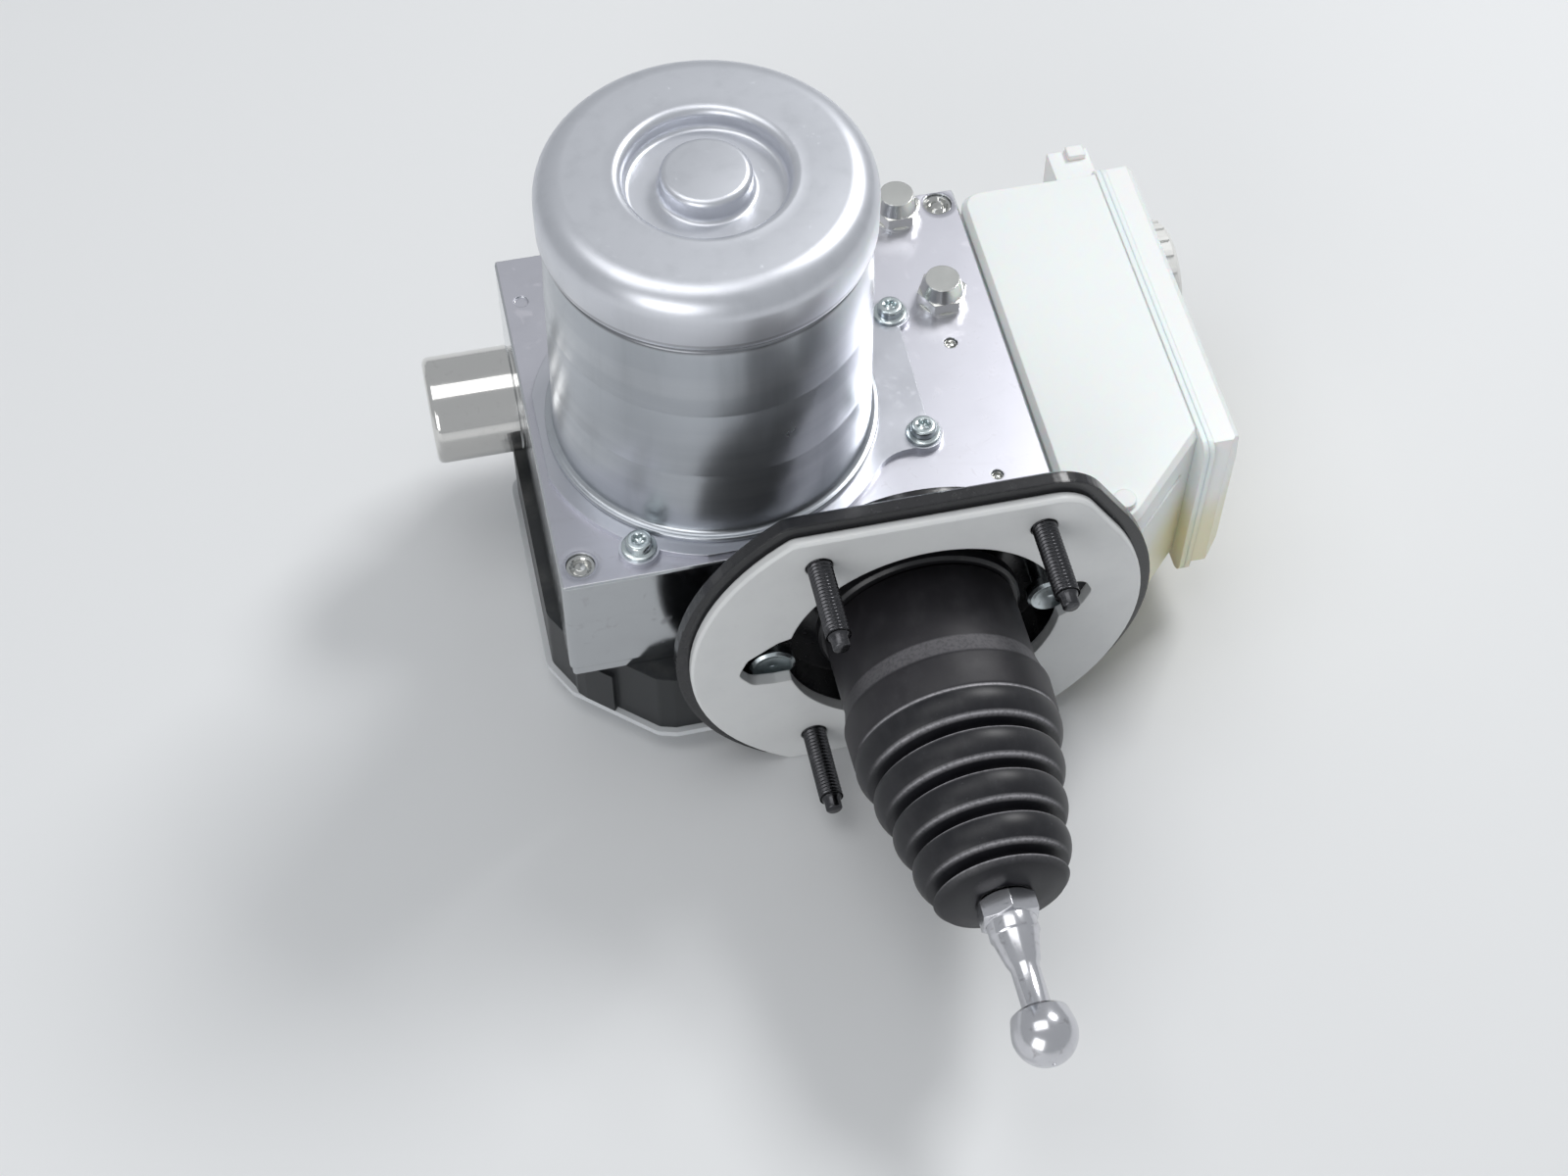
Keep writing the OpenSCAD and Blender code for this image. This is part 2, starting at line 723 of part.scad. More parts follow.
module bracket_bolts() {
    y = bolt_front;
    end = block_front + bolt_l - 0.5;
    color([0.65, 0.74, 0.76])
        for (b = bolt_spots)
            translate([b[0], 0, b[1]]) yturn([
                [0, y + 0.9], [bolt_head_r - 2.4, y + 0.3], [bolt_head_r - 1, y],
                [bolt_head_r, y + 0.8], [bolt_head_r, y + bolt_head_h],
                [bolt_neck_r, y + bolt_head_h], [bolt_neck_r, bracket_floor],
                [bolt_r, bracket_floor], [bolt_r, end], [0, end]]);
}

module input_sleeve() {
    throat = 9.4;
    bore = bore_r + 0.6;
    color([0.07, 0.07, 0.08]) yturn([
        [sleeve_r - 4, -sleeve_out], [sleeve_r - 1, -sleeve_out], [sleeve_r, -sleeve_out + 1],
        [sleeve_r, collar_front], [collar_r - 1, collar_front], [collar_r, collar_front + 1],
        [collar_r, throat], [neck_out, throat + 4], [neck_out, block_front],
        [16.8, block_front], [16.8, block_front + 5.8], [bore, block_front + 5.8],
        [bore, throat - 2], [sleeve_r - 4, throat - 4]]);
}

// Outer skin of the boot from the cuff to the last fold, as [radius, y]. Each fold has a wide
// rounded back, then a narrow groove before the next crest, as fold_shape gives it in shares of
// the pitch and of the groove's depth.
function boot_skin(shift) =
    let (taper = (last_fold_r - first_fold_r) / (folds - 1))
    concat(
        [[cuff_r - shift, cuff_front], [band_r - 0.6 - shift, band_y + 1.4],
            [band_r - shift, band_y], [band_r - 0.2 - shift, first_fold_y + 1]],
        [for (i = [0:folds - 2], f = fold_shape)
            [first_fold_r + taper * (i + f[0]) + fold_depth * f[1] - shift,
                first_fold_y - fold_pitch * (i + f[0])]],
        [[last_fold_r - shift, first_fold_y - fold_pitch * (folds - 1)]]);

// The convoluted rubber boot
module dust_boot() {
    last_y = first_fold_y - fold_pitch * (folds - 1);
    outer = boot_skin(0);
    inner = boot_skin(boot_wall);
    turns_back = [for (i = [len(inner) - 1:-1:0]) inner[i]];
    color([0.16, 0.16, 0.18]) yturn(concat(
        [[cuff_r, cuff_back]], outer,
        [[last_fold_r - 1.6, last_y - 1.8], [boot_hole_r + 2.4, boot_end], [boot_hole_r, boot_end]],
        [[boot_hole_r, boot_end + boot_wall], [last_fold_r - boot_wall - 2, last_y - 0.4]],
        turns_back, [[cuff_r - boot_wall, cuff_back]]));
}

module push_rod() {
    s = pivot_y;
    color([0.78, 0.79, 0.8]) difference() {
        union() {
            translate([0, s, 0]) sphere(r = pivot_ball_r);
            yturn([[0, flange_y - rod_thread_l], [rod_thread_r, flange_y - rod_thread_l],
                [rod_thread_r, flange_y], [rod_r, flange_y], [rod_r, primary_rear - 3.5],
                [rod_r - 0.4, primary_rear - 2.5], [rod_r - 0.4, s], [0, s]]);
        }
        zbar(grease_r, -pivot_ball_r - 1, pivot_ball_r + 1, [0, s]);
    }
}

module ball_end() {
    color([0.86, 0.87, 0.88]) difference() {
        union() {
            yturn([[0, hex_y], [rod_flange_r, hex_y], [rod_flange_r, flange_y], [0, flange_y]]);
            translate([0, hex_y, 0]) rotate([90, 0, 0])
                cylinder(r = hex_w / sqrt(3), h = hex_y - collar_y, $fn = 6);
            yturn(concat(
                [[0, collar_y], [rod_collar_r, collar_y], [rod_collar_r, cone_y + 0.6],
                    [rod_collar_r - 0.6, cone_y], [neck_r + 0.8, neck_y + 2.5], [neck_r, neck_y],
                    [neck_r, head_y + 3.4], [neck_r + 1.2, head_y + 2.2], [ball_r - 1.6, head_y],
                    [ball_r - 0.7, head_y - 1]],
                arc([0, -ball_out], ball_r, 22, -84, 18), [[0, -ball_out - ball_r + 0.6]]));
        }
        ybar(rod_thread_r + 0.1, flange_y - rod_thread_l - 0.2, flange_y + 1);
    }
}

module primary_piston() {
    r = pivot_ball_r + run_gap;
    color([0.7, 0.68, 0.6]) difference() {
        ybar(piston_r, primary_rear, primary_front);
        ybar(cup_r + 0.4, primary_rear - 1, primary_rear + 2.4);
        ybar(r, primary_rear - 1, pivot_y);
        translate([0, pivot_y, 0]) sphere(r = r);
        ybar(cup_r, primary_front - primary_cup, primary_front + 1);
    }
}

module rod_retainer() {
    color([0.4, 0.4, 0.42]) difference() {
        ybar(cup_r + 0.4 - loose_gap, primary_rear + 0.2, primary_rear + 2.4);
        ybar(rod_r + 0.6, primary_rear - 1, primary_rear + 3);
    }
}

module secondary_piston() {
    color([0.7, 0.68, 0.6]) difference() {
        ybar(piston_r, secondary_rear, secondary_front);
        ybar(cup_r, secondary_rear - 1, secondary_rear + secondary_cup);
        ybar(cup_r, secondary_front - secondary_seat, secondary_front + 1);
    }
}

module piston_spring(y0, y1, turns) {
    translate([0, y0, 0]) rotate([-90, 0, 0])
        coil(piston_coil_r, piston_wire, y1 - y0, turns);
}

module primary_spring() {
    color([0.5, 0.5, 0.52])
        piston_spring(primary_front - primary_cup + 0.2, secondary_rear + secondary_cup - 0.2, 7);
}

module secondary_spring() {
    color([0.5, 0.5, 0.52])
        piston_spring(secondary_front - secondary_seat + 0.2, bore_end - 0.2, 8);
}

module piston_seals() {
    color([0.12, 0.12, 0.13])
        for (y = concat(primary_seals, secondary_seals)) difference() {
            ybar(bore_r + seal_depth, y + 0.1, y + seal_w - 0.1);
            ybar(bore_r, y - 1, y + seal_w + 1);
        }
}

// Places for the four motor screws
module at_ears() {
    for (e = ear_spots) translate([motor[0] + e[0], motor[1] + e[1], 0]) children();
}

module ear_holes(r, z0, z1) {
    at_ears() zbar(r, z0, z1);
}

module terminal_holes(z0, z1) {
    for (a = terminal_angles)
        zbar(terminal_r + 0.8, z0, z1, motor + terminal_at * [cos(a), sin(a)]);
}

module motor_flange() {
    z0 = block_top;
    z1 = block_top + flange_t;
    right = ear_spots[1];
    back = ear_spots[2];
    low = right[1] - 5.5;
    r = flange_fillet;
    c = [sqrt(pow(flange_r + r, 2) - pow(low - r, 2)), low - r];
    bend = arc(c, r, atan2(-c[1], -c[0]), 90, 6);
    color([0.72, 0.73, 0.76]) difference() {
        union() {
            intersection() {
                zbar(flange_r, z0, z1, motor);
                slab(box2([block_left + 3, block_front + 1.8], [block_right, block_back]), z0, z1);
            }
            ear_holes(ear_r, z0, z1);
            translate([motor[0], motor[1], 0]) slab(concat([[20, low]], bend, [
                [right[0], low], [right[0] + 2.6, right[1]], [back[0] + 2, back[1]],
                [back[0], back[1] + 5.5], [20, back[1] + 5.5]]), z0, z1);
            zbar(spigot_r - loose_gap, z0 - spigot_h, z0, motor);
            zring(bearing_r + 0.1, bearing_r + 3.4, z1, bearing_z + bearing_h, motor);
        }
        zbar(journal_r + 1.2, z0 - spigot_h - 1, z1 + 1, motor);
        zbar(bearing_r + 0.1, bearing_z, z1 + 20, motor);
        terminal_holes(z0 - 1, z1 + 1);
        ear_holes(screw_r + loose_gap, z0 - 1, z1 + 1);
    }
}

// Outer profile of the deep-drawn can, from the rim up to the middle of the boss
function can_skin() = concat(
    [[rim_r, can_z0], [rim_r, can_z0 + rim_t - 0.5], [rim_r - 0.5, can_z0 + rim_t]],
    arc([base_r + 2.6, can_z0 + rim_t + 2.6], 2.6, 270, 180, 5),
    can_bead(0.34), can_bead(0.66),
    [[under_cap_r, cap_z - 2.2]],
    arc([under_cap_r + 0.2, cap_z - 1], 1, 230, 130, 5),
    [[can_r - 0.5, cap_z + 0.8], [can_r, cap_z + 2.2]],
    arc([can_r - shoulder_r, can_top - shoulder_r], shoulder_r, 0, 90, 12),
    [[recess_r + 5, can_top]],
    arc([recess_r + 1.6, can_top - 3], 3, 80, 180, 6),
    arc([recess_r - 3.4, can_top - recess_h + 2], 2, 0, -90, 4),
    [[boss_r + 3.4, can_top - recess_h]],
    arc([boss_r + 1.8, can_top - recess_h + 1.8], 1.8, 270, 180, 4),
    arc([boss_r - 2.2, can_top - 1.6], 2.2, 0, 90, 5), [[0, can_top + 0.6]]);

// A faint drawing ring at a share of the can's height
function can_bead(share) =
    let (z = can_z0 + (cap_z - can_z0) * share, r = base_r + (under_cap_r - base_r) * share)
    [[r, z - 0.7], [r - 0.35, z], [r, z + 0.7]];

module motor_can() {
    w = can_wall;
    inside = concat(
        [[0, can_top + 0.6 - w - 0.5], [pocket_r, can_top + 0.6 - w - 0.5],
            [pocket_r, can_top - recess_h - w], [recess_r - 2, can_top - recess_h - w],
            [recess_r + 1, can_top - recess_h - w + 1.4], [recess_r + 2.4, can_top - w - 2],
            [recess_r + 5, can_top - w]],
        arc([can_r - shoulder_r, can_top - shoulder_r], shoulder_r - w, 90, 0, 8),
        [[can_r - w, cap_z + 3], [under_cap_r - w, cap_z - 1], [base_r - w, can_z0]]);
    color([0.62, 0.65, 0.69]) motor_turn(concat(can_skin(), inside));
}

module motor_screws() {
    z = block_top + flange_t;
    color([0.8, 0.82, 0.83]) at_ears() difference() {
        union() {
            zbar(screw_r, block_top - screw_l, z);
            zbar(washer_r, z, z + 1.1);
            translate([0, 0, z + 1.1]) cylinder(r1 = screw_head_r, r2 = screw_head_r - 0.5, h = 3.2);
        }
        translate([0, 0, z + 2.6]) cylinder(r = 2, h = 3, $fn = 6);
    }
}

module stator_core() {
    color([0.45, 0.47, 0.5]) translate([motor[0], motor[1], stator_z])
        linear_extrude(core_h) union() {
            difference() {
                circle(r = stator_r);
                circle(r = stator_r - yoke_w);
            }
            for (i = [0:teeth - 1]) rotate(i * 360 / teeth) {
                translate([air_r + 1.4, -tooth_w / 2])
                    square([stator_r - yoke_w - air_r - 0.6, tooth_w]);
                intersection() {
                    difference() {
                        circle(r = air_r + 2.2);
                        circle(r = air_r);
                    }
                    polygon([[0, 0], [40, -40 * tan(130 / teeth)], [40, 40 * tan(130 / teeth)]]);
                }
            }
        }
}

module stator_windings() {
    lift = 0.2;
    overhang = 4;
    r0 = air_r + 3.2;
    r1 = stator_r - yoke_w - 0.8;
    color([0.72, 0.42, 0.22])
        for (i = [0:teeth - 1])
            translate([motor[0], motor[1], stator_z]) rotate(i * 360 / teeth) difference() {
                translate([r0, -tooth_w / 2 - winding_w, -overhang])
                    cube([r1 - r0, tooth_w + 2 * winding_w, core_h + 2 * overhang]);
                translate([r0 - 1, -tooth_w / 2 - lift, -lift])
                    cube([r1 - r0 + 2, tooth_w + 2 * lift, core_h + 2 * lift]);
            }
}

module motor_terminals() {
    color([0.72, 0.42, 0.22])
        for (a = terminal_angles)
            zbar(terminal_r, board_z + board_t, stator_z - 4,
                motor + terminal_at * [cos(a), sin(a)]);
}

module rotor_shaft() {
    z = block_top;
    j = journal_r - run_gap;
    color([0.6, 0.61, 0.63]) motor_turn([
        [hub_bore_r, z + 0.4], [j, z + 0.4], [j, z + 13], [drum_r - 4.9, z + 13],
        [drum_r - 4.9, z + 25], [drum_r, z + 27], [drum_r, z + 75], [drum_r - 4.9, z + 78],
        [stub_r + 3, z + 81], [stub_r + 3, upper_bearing_z - 0.4],
        [stub_r - run_gap, upper_bearing_z - 0.4],
        [stub_r - run_gap, can_top - 3], [0, can_top - 3], [0, hub_top], [hub_bore_r, hub_top]]);
}

magnet_r1 = air_r - 0.8;
magnet_r0 = magnet_r1 - 2.2;
drum_r = magnet_r0 - 0.1;
module rotor_magnets() {
    half = 180 / magnets - 2;
    color([0.35, 0.35, 0.38])
        translate([motor[0], motor[1], stator_z]) linear_extrude(core_h)
            for (i = [0:magnets - 1]) rotate(i * 360 / magnets) intersection() {
                difference() {
                    circle(r = magnet_r1);
                    circle(r = magnet_r0);
                }
                polygon([[0, 0], [40, -40 * tan(half)], [40, 40 * tan(half)]]);
            }
}

module ball_nut() {
    color([0.5, 0.5, 0.53]) zring(spindle_r + run_gap, nut_r, nut_z0, nut_z0 + nut_l, motor);
}

module screw_spindle() {
    color([0.66, 0.67, 0.7]) zbar(spindle_r, spindle_z0, spindle_z0 + spindle_l, motor);
}

module pressure_plunger() {
    color([0.7, 0.68, 0.6]) difference() {
        zbar(plunger_r, plunger_bottom, plunger_top, motor);
        zbar(spindle_r + 0.1, spindle_z0, plunger_top + 1, motor);
        zbar(plunger_r - 4, plunger_bottom - 1, plunger_bottom + 10, motor);
    }
}

module plunger_seal() {
    color([0.12, 0.12, 0.13])
        zring(plunger_bore_r, plunger_bore_r + seal_depth, plunger_seal_z + 0.1,
            plunger_seal_z + seal_w - 0.1, motor);
}

module upper_bearing() {
    color([0.7, 0.71, 0.74])
        zring(stub_r, pocket_r - 0.1, upper_bearing_z, upper_bearing_z + upper_bearing_h, motor);
}

module lower_bearing() {
    color([0.7, 0.71, 0.74])
        zring(journal_r, bearing_r, bearing_z, bearing_z + bearing_h, motor);
}

// Turns a profile of [radius, distance] into a body along X at the simulator's axis
module sim_turn(profile) {
    translate([0, sim_back, sim_up]) rotate([0, 90, 0]) rotate_extrude() polygon(profile);
}

module simulator_housing() {
    edge = 2.4;
    color([0.85, 0.85, 0.84]) sim_turn(concat(
        [[0, sim_end], [sim_r - edge, sim_end]],
        arc([sim_r - edge, sim_end + edge], edge, 270, 360, 5),
        [[sim_r, block_left - 1.6], [sim_r - 0.6, block_left - 1], [sim_r - 0.6, block_left],
            [sim_spigot_r, block_left], [sim_spigot_r, block_left + sim_spigot_l - 0.2],
            [sim_bore_r, block_left + sim_spigot_l - 0.2], [sim_bore_r, sim_floor],
            [0, sim_floor]]));
}

module simulator_piston() {
    x1 = sim_piston_x + sim_piston_l;
    color([0.7, 0.68, 0.6]) sim_turn([
        [cup_r + 0.6, sim_piston_x], [sim_piston_r, sim_piston_x],
        [sim_piston_r, sim_piston_x + 12], [sim_piston_r - 2, sim_piston_x + 12],
        [sim_piston_r - 2, sim_piston_x + 15], [sim_piston_r, sim_piston_x + 15],
        [sim_piston_r, x1], [0, x1], [0, sim_piston_x + sim_cup],
        [cup_r + 0.6, sim_piston_x + sim_cup]]);
}

module simulator_seals() {
    color([0.12, 0.12, 0.13]) sim_turn([
        [sim_piston_r - 1.9, sim_piston_x + 12.1], [sim_piston_r, sim_piston_x + 12.1],
        [sim_piston_r, sim_piston_x + 14.9], [sim_piston_r - 1.9, sim_piston_x + 14.9]]);
}

module simulator_spring() {
    x1 = sim_piston_x + sim_cup - 0.2;
    color([0.5, 0.5, 0.52]) translate([sim_floor + 0.2, sim_back, sim_up]) rotate([0, 90, 0])
        coil(sim_coil_r, sim_wire, x1 - sim_floor - 0.2, 8);
}

// Plan of the lower shell; the front corner is cut back beside the mounting plate
chamfer_x = tank_left + 20;
function tank_plan(x1) = [
    [tank_left, tank_front], [chamfer_x, tank_front],
    [tank_seam, tank_front + tank_seam - chamfer_x], [x1, tank_front + tank_seam - chamfer_x],
    [x1, tank_back], [tank_left, tank_back]];

module reservoir_lower_shell() {
    plan = [for (i = [0, 1, 2, 4, 5]) tank_plan(tank_seam)[i]];
    round_plan = rounded(plan, [5, 10, 0, 0, 7]);
    cavity = inset(tank_plan(tank_seam + 8), tank_wall);
    color([0.94, 0.94, 0.9]) difference() {
        union() {
            hull() {
                slab(round_plan, -tank_down + tank_edge, tank_up - tank_edge);
                slab(rounded(inset(plan, tank_edge * 0.7), [4, 9, 0, 0, 6]), -tank_down, tank_up);
            }
            xslab(weld_outline(), tank_seam - weld_t, tank_seam);
            for (y = socket_y) {
                xbar(nipple_r, block_right - socket_l + 1, tank_left + 1, [y, socket_z]);
            }
            sensor_shroud();
            tank_rib();
            zbar(3.6, tank_up - 1, tank_up + 2, [chamfer_x - 2, tank_front + 7.5]);
        }
        intersection() {
            slab(cavity, -tank_down + tank_wall, tank_up - tank_wall);
            slab(box2([0, 0], [tank_seam + 1, 300]), -100, 100);
        }
        for (y = socket_y)
            xbar(nipple_r - 2, block_right - socket_l, tank_left + tank_wall + 1, [y, socket_z]);
        shroud_cut();
    }
}

// Flange of the weld between the two shells, as an outline in Y and Z
function weld_outline() = rounded(
    box2([weld_front, -tank_down - weld_over], [tank_back + weld_over, tank_up + 0.6]), 5);

// Stiffening rib round the cut-back front corner
module tank_rib() {
    z = tank_up - 15;
    slab(rounded([[chamfer_x - 8, tank_front - 0.2], [chamfer_x + 0.6, tank_front - 0.2],
        [tank_seam - 8, tank_front + tank_seam - chamfer_x - 9],
        [tank_seam - 8, tank_front + tank_seam - chamfer_x - 4],
        [chamfer_x, tank_front + 4], [chamfer_x - 8, tank_front + 4]], 1), z, z + 2.2);
}

// Socket of the fluid level sensor on the back wall
module sensor_shroud() {
    xs = shroud_x;
    zs = shroud_z;
    translate([xs[0], tank_back - 1, zs[0]]) cube([xs[1] - xs[0], shroud_l + 1, zs[1] - zs[0]]);
    translate([xs[1] - 8, tank_back + shroud_l - 5, zs[1] - 1]) cube([6, 5, 3]);
}

module shroud_cut() {
    w = shroud_wall;
    translate([shroud_x[0] + w, tank_back + 1.5, shroud_z[0] + w])
        cube([shroud_x[1] - shroud_x[0] - 2 * w, shroud_l, shroud_z[1] - shroud_z[0] - 2 * w]);
}

module level_sensor_pins() {
    mid = (shroud_z[0] + shroud_z[1]) / 2;
    color([0.8, 0.75, 0.5])
        for (dx = [-2.5, 2.5])
            ybar(0.6, tank_back + 1.5, tank_back + 9,
                [(shroud_x[0] + shroud_x[1]) / 2 + dx, mid]);
}

module reservoir_upper_shell() {
    side = [[upper_x0 - weld_t, -tank_down], [upper_x1 - 4, -tank_down],
        [upper_x1, -tank_down + 5], [upper_x1, tank_up - 16], [upper_x1 - 1.6, tank_up - 3],
        [upper_x1 - 4, tank_up], [upper_x0 - weld_t, tank_up]];
    front = weld_front + 3;
    color([0.94, 0.94, 0.9]) difference() {
        union() {
            difference() {
                yslab(side, front, tank_back);
                translate([upper_x1, front, 0]) rotate(45) cube([7, 7, 200], center = true);
            }
            xslab(weld_outline(), tank_seam, tank_seam + weld_t);
            xbar(neck_out_r, upper_x1 - 1, upper_x1 + cap_h - cap_top_t - gasket_t - 0.6, cap_at);
            xbar(guide_r, tank_seam - 28, upper_x1 - 1, float_at);
        }
        difference() {
            yslab(box2([tank_seam - 40, -tank_down + tank_wall],
                [upper_x1 - tank_wall, tank_up - tank_wall - 1]), front + 5, tank_back - tank_wall);
            xbar(guide_r, tank_seam - 28, upper_x1 - 1, float_at);
        }
        xbar(neck_in_r, tank_seam, upper_x1 + 20, cap_at);
    }
}

module filler_cap() {
    x0 = upper_x1 + air_gap;
    x1 = upper_x1 + cap_h;
    ribs = 20;
    color([0.95, 0.95, 0.93]) difference() {
        union() {
            translate([0, cap_at[0], cap_at[1]]) rotate([0, 90, 0]) rotate_extrude()
                polygon([[0, x0], [cap_r - 0.8, x0], [cap_r - 0.8, x1 - 1.4],
                    [cap_r - 2.2, x1], [cap_r - 6, x1], [cap_r - 7, x1 - 0.8], [0, x1 - 0.8]]);
            for (i = [0:ribs - 1])
                translate([0, cap_at[0], cap_at[1]]) rotate([i * 360 / ribs, 0, 0])
                    translate([x0 + 0.4, cap_r - 1.4, -1]) cube([x1 - x0 - 2, 1.4, 2]);
            translate([x1 - 1, cap_at[0] - 12, cap_at[1] - 1.6]) cube([2.2, 24, 3.2]);
        }
        xbar(neck_out_r + air_gap, x0 - 1, x1 - cap_top_t, cap_at);
    }
}

module cap_gasket() {
    x1 = upper_x1 + cap_h - cap_top_t - 0.3;
    color([0.15, 0.15, 0.16]) difference() {
        xbar(neck_out_r, x1 - gasket_t, x1, cap_at);
        xbar(neck_in_r - 1, x1 - gasket_t - 1, x1 + 1, cap_at);
    }
}

module reservoir_grommets() {
    color([0.14, 0.14, 0.15])
        for (y = socket_y) difference() {
            union() {
                xbar(grommet_r, block_right - socket_l + 1, block_right, [y, socket_z]);
                xbar(socket_r + 2, block_right, tank_left, [y, socket_z]);
            }
            xbar(nipple_r + 0.1, block_right - socket_l, tank_left + 1, [y, socket_z]);
        }
}

module level_float() {
    x0 = tank_seam - 27;
    color([0.9, 0.5, 0.2]) difference() {
        xbar(float_r, x0, x0 + float_h, float_at);
        xbar(guide_r + run_gap, x0 - 1, x0 + float_h + 1, float_at);
    }
}

module ecu_housing() {
    outline = inset(cover_outline, ecu_lip);
    radii = [6, 4, 4, 3, 3, 2, 2, 5, 5, 5];
    color([0.1, 0.11, 0.12]) difference() {
        union() {
            difference() {
                union() {
                    slab(rounded(outline, radii), ecu_bottom, ecu_top);
                    slab(ear_plan, ecu_bottom, ecu_top - 8);
                }
                slab(rounded(inset(outline, ecu_wall), 2), ecu_bottom - cover_t - 1,
                    ecu_top - ecu_roof);
            }
            for (s = ecu_screw_spots) zbar(ecu_boss_r, ecu_bottom, ecu_top - ecu_roof, s);
            for (s = cover_screw_spots) zbar(cover_post_r, ecu_bottom, ecu_top - ecu_roof, s);
            connector_shroud();
        }
        for (s = ecu_screw_spots) {
            zbar(ecu_screw_r + loose_gap, ecu_bottom - 1, ecu_top + 1, s);
            zbar(ecu_screw_r * 2 + 0.1, ecu_bottom - 1, ecu_bottom + 4.2, s);
        }
        for (s = cover_screw_spots)
            zbar(cover_screw_r + 0.1, ecu_bottom - 1, ecu_bottom + 9, s);
        for (v = valve_spots) zbar(valve_r + 2.2, ecu_top - ecu_roof - 1, ecu_top + 1, v);
        zbar(sensor_r + 0.3, ecu_top - ecu_roof - 1, ecu_top + 1, sensor_spot);
        terminal_holes(ecu_top - ecu_roof - 1, ecu_top + 1);
        connector_cut();
    }
}

// Plug socket for the vehicle harness on the control unit's back wall
module connector_shroud() {
    xs = socket_x;
    zs = ecu_socket_z;
    yslab(rounded([[xs[0], zs[0]], [xs[1], zs[0]], [xs[1], zs[1]], [xs[0], zs[1]]], 3),
        ecu_back - ecu_lip - 1, ecu_back + ecu_socket_l);
}

module connector_cut() {
    xs = socket_x;
    zs = ecu_socket_z;
    w = 2.2;
    yslab(rounded([[xs[0] + w, zs[0] + w], [xs[1] - w, zs[0] + w], [xs[1] - w, zs[1] - w],
        [xs[0] + w, zs[1] - w]], 1.6), ecu_back + 2, ecu_back + ecu_socket_l + 1);
}

module connector_pins() {
    y0 = ecu_back + 2;
    low = ecu_socket_z[0] + 7;
    blade_x = socket_x[1] - 2 * blade_pitch;
    color([0.8, 0.75, 0.5]) {
        for (row = [0:2], i = [0:9])
            ybar(0.5, y0, y0 + pin_l, [socket_x[0] + 8 + pin_pitch * i, low + pin_rise * row]);
        for (i = [0:1])
            translate([blade_x + blade_pitch * i, y0, low]) cube([blade_w, pin_l, 1.2]);
    }
}

module ecu_cover() {
    z0 = ecu_bottom - cover_t;
    color([0.72, 0.74, 0.76]) difference() {
        union() {
            slab(rounded(cover_outline, cover_rounding), z0, ecu_bottom);
            slab(rounded(field_outline, 3), cover_field + 1.4, z0);
            slab(rounded(inset(field_outline, 1.4), 3), cover_field, cover_field + 1.4);
        }
        slab(rounded(inset(field_outline, cover_t + 1), 2), cover_field + cover_t, ecu_bottom + 1);
        for (s = cover_screw_spots) zbar(cover_screw_r + 0.2, z0 - 1, ecu_bottom + 1, s);
    }
}

module ecu_cover_screws() {
    z = ecu_bottom - cover_t;
    color([0.7, 0.71, 0.73])
        for (s = cover_screw_spots) difference() {
            union() {
                zbar(cover_screw_r, z, z + cover_screw_l, s);
                zbar(2.8, z - 2, z, s);
            }
            translate([s[0], s[1], z - 3]) cylinder(r = 1.3, h = 2.2, $fn = 6);
        }
}

module ecu_block_screws() {
    color([0.7, 0.71, 0.73])
        for (s = ecu_screw_spots) difference() {
            union() {
                zbar(ecu_screw_r * 2, ecu_bottom + 0.4, ecu_bottom + 4.2, s);
                zbar(ecu_screw_r, ecu_bottom + 4.2, ecu_top + 9, s);
            }
            translate([s[0], s[1], ecu_bottom]) cylinder(r = 1.9, h = 2.4, $fn = 6);
        }
}

module circuit_board() {
    color([0.1, 0.35, 0.2]) difference() {
        slab(rounded(inset(cover_outline, ecu_lip + ecu_wall + 0.6), 3), board_z, board_z + board_t);
        for (s = ecu_screw_spots) zbar(ecu_boss_r + 0.4, board_z - 1, board_z + 3, s);
        for (s = cover_screw_spots) zbar(cover_post_r + 0.4, board_z - 1, board_z + 3, s);
    }
}

module valve_cartridges() {
    color([0.66, 0.67, 0.7])
        for (v = valve_spots) {
            zbar(valve_r, block_bottom, block_bottom + 9.2, v);
            zbar(valve_r + 1.9, block_bottom - 2, block_bottom, v);
            zbar(valve_r - 0.5, board_z + board_t + 1, block_bottom - 2, v);
        }
}

module valve_coils() {
    color([0.5, 0.33, 0.2])
        for (v = valve_spots)
            zring(valve_r - 0.3, coil_r, board_z + board_t, coil_top, v);
}

module pressure_sensor() {
    color([0.7, 0.7, 0.72]) {
        zbar(sensor_r - 1.5, block_bottom, block_bottom + 7.2, sensor_spot);
        zbar(sensor_r, board_z + board_t, block_bottom, sensor_spot);
    }
}

hydraulic_block();
bore_plugs();
hex_plugs();
mounting_bracket();
mounting_plate();
mounting_studs();
bracket_bolts();
input_sleeve();
dust_boot();
push_rod();
ball_end();
primary_piston();
rod_retainer();
secondary_piston();
primary_spring();
secondary_spring();
piston_seals();
motor_flange();
motor_can();
motor_screws();
stator_core();
stator_windings();
motor_terminals();
rotor_shaft();
rotor_magnets();
ball_nut();
screw_spindle();
pressure_plunger();
plunger_seal();
upper_bearing();
lower_bearing();
simulator_housing();
simulator_piston();
simulator_seals();
simulator_spring();
reservoir_lower_shell();
reservoir_upper_shell();
filler_cap();
cap_gasket();
reservoir_grommets();
level_float();
level_sensor_pins();
ecu_housing();
ecu_cover();
ecu_cover_screws();
ecu_block_screws();
circuit_board();
connector_pins();
valve_cartridges();
valve_coils();
pressure_sensor();
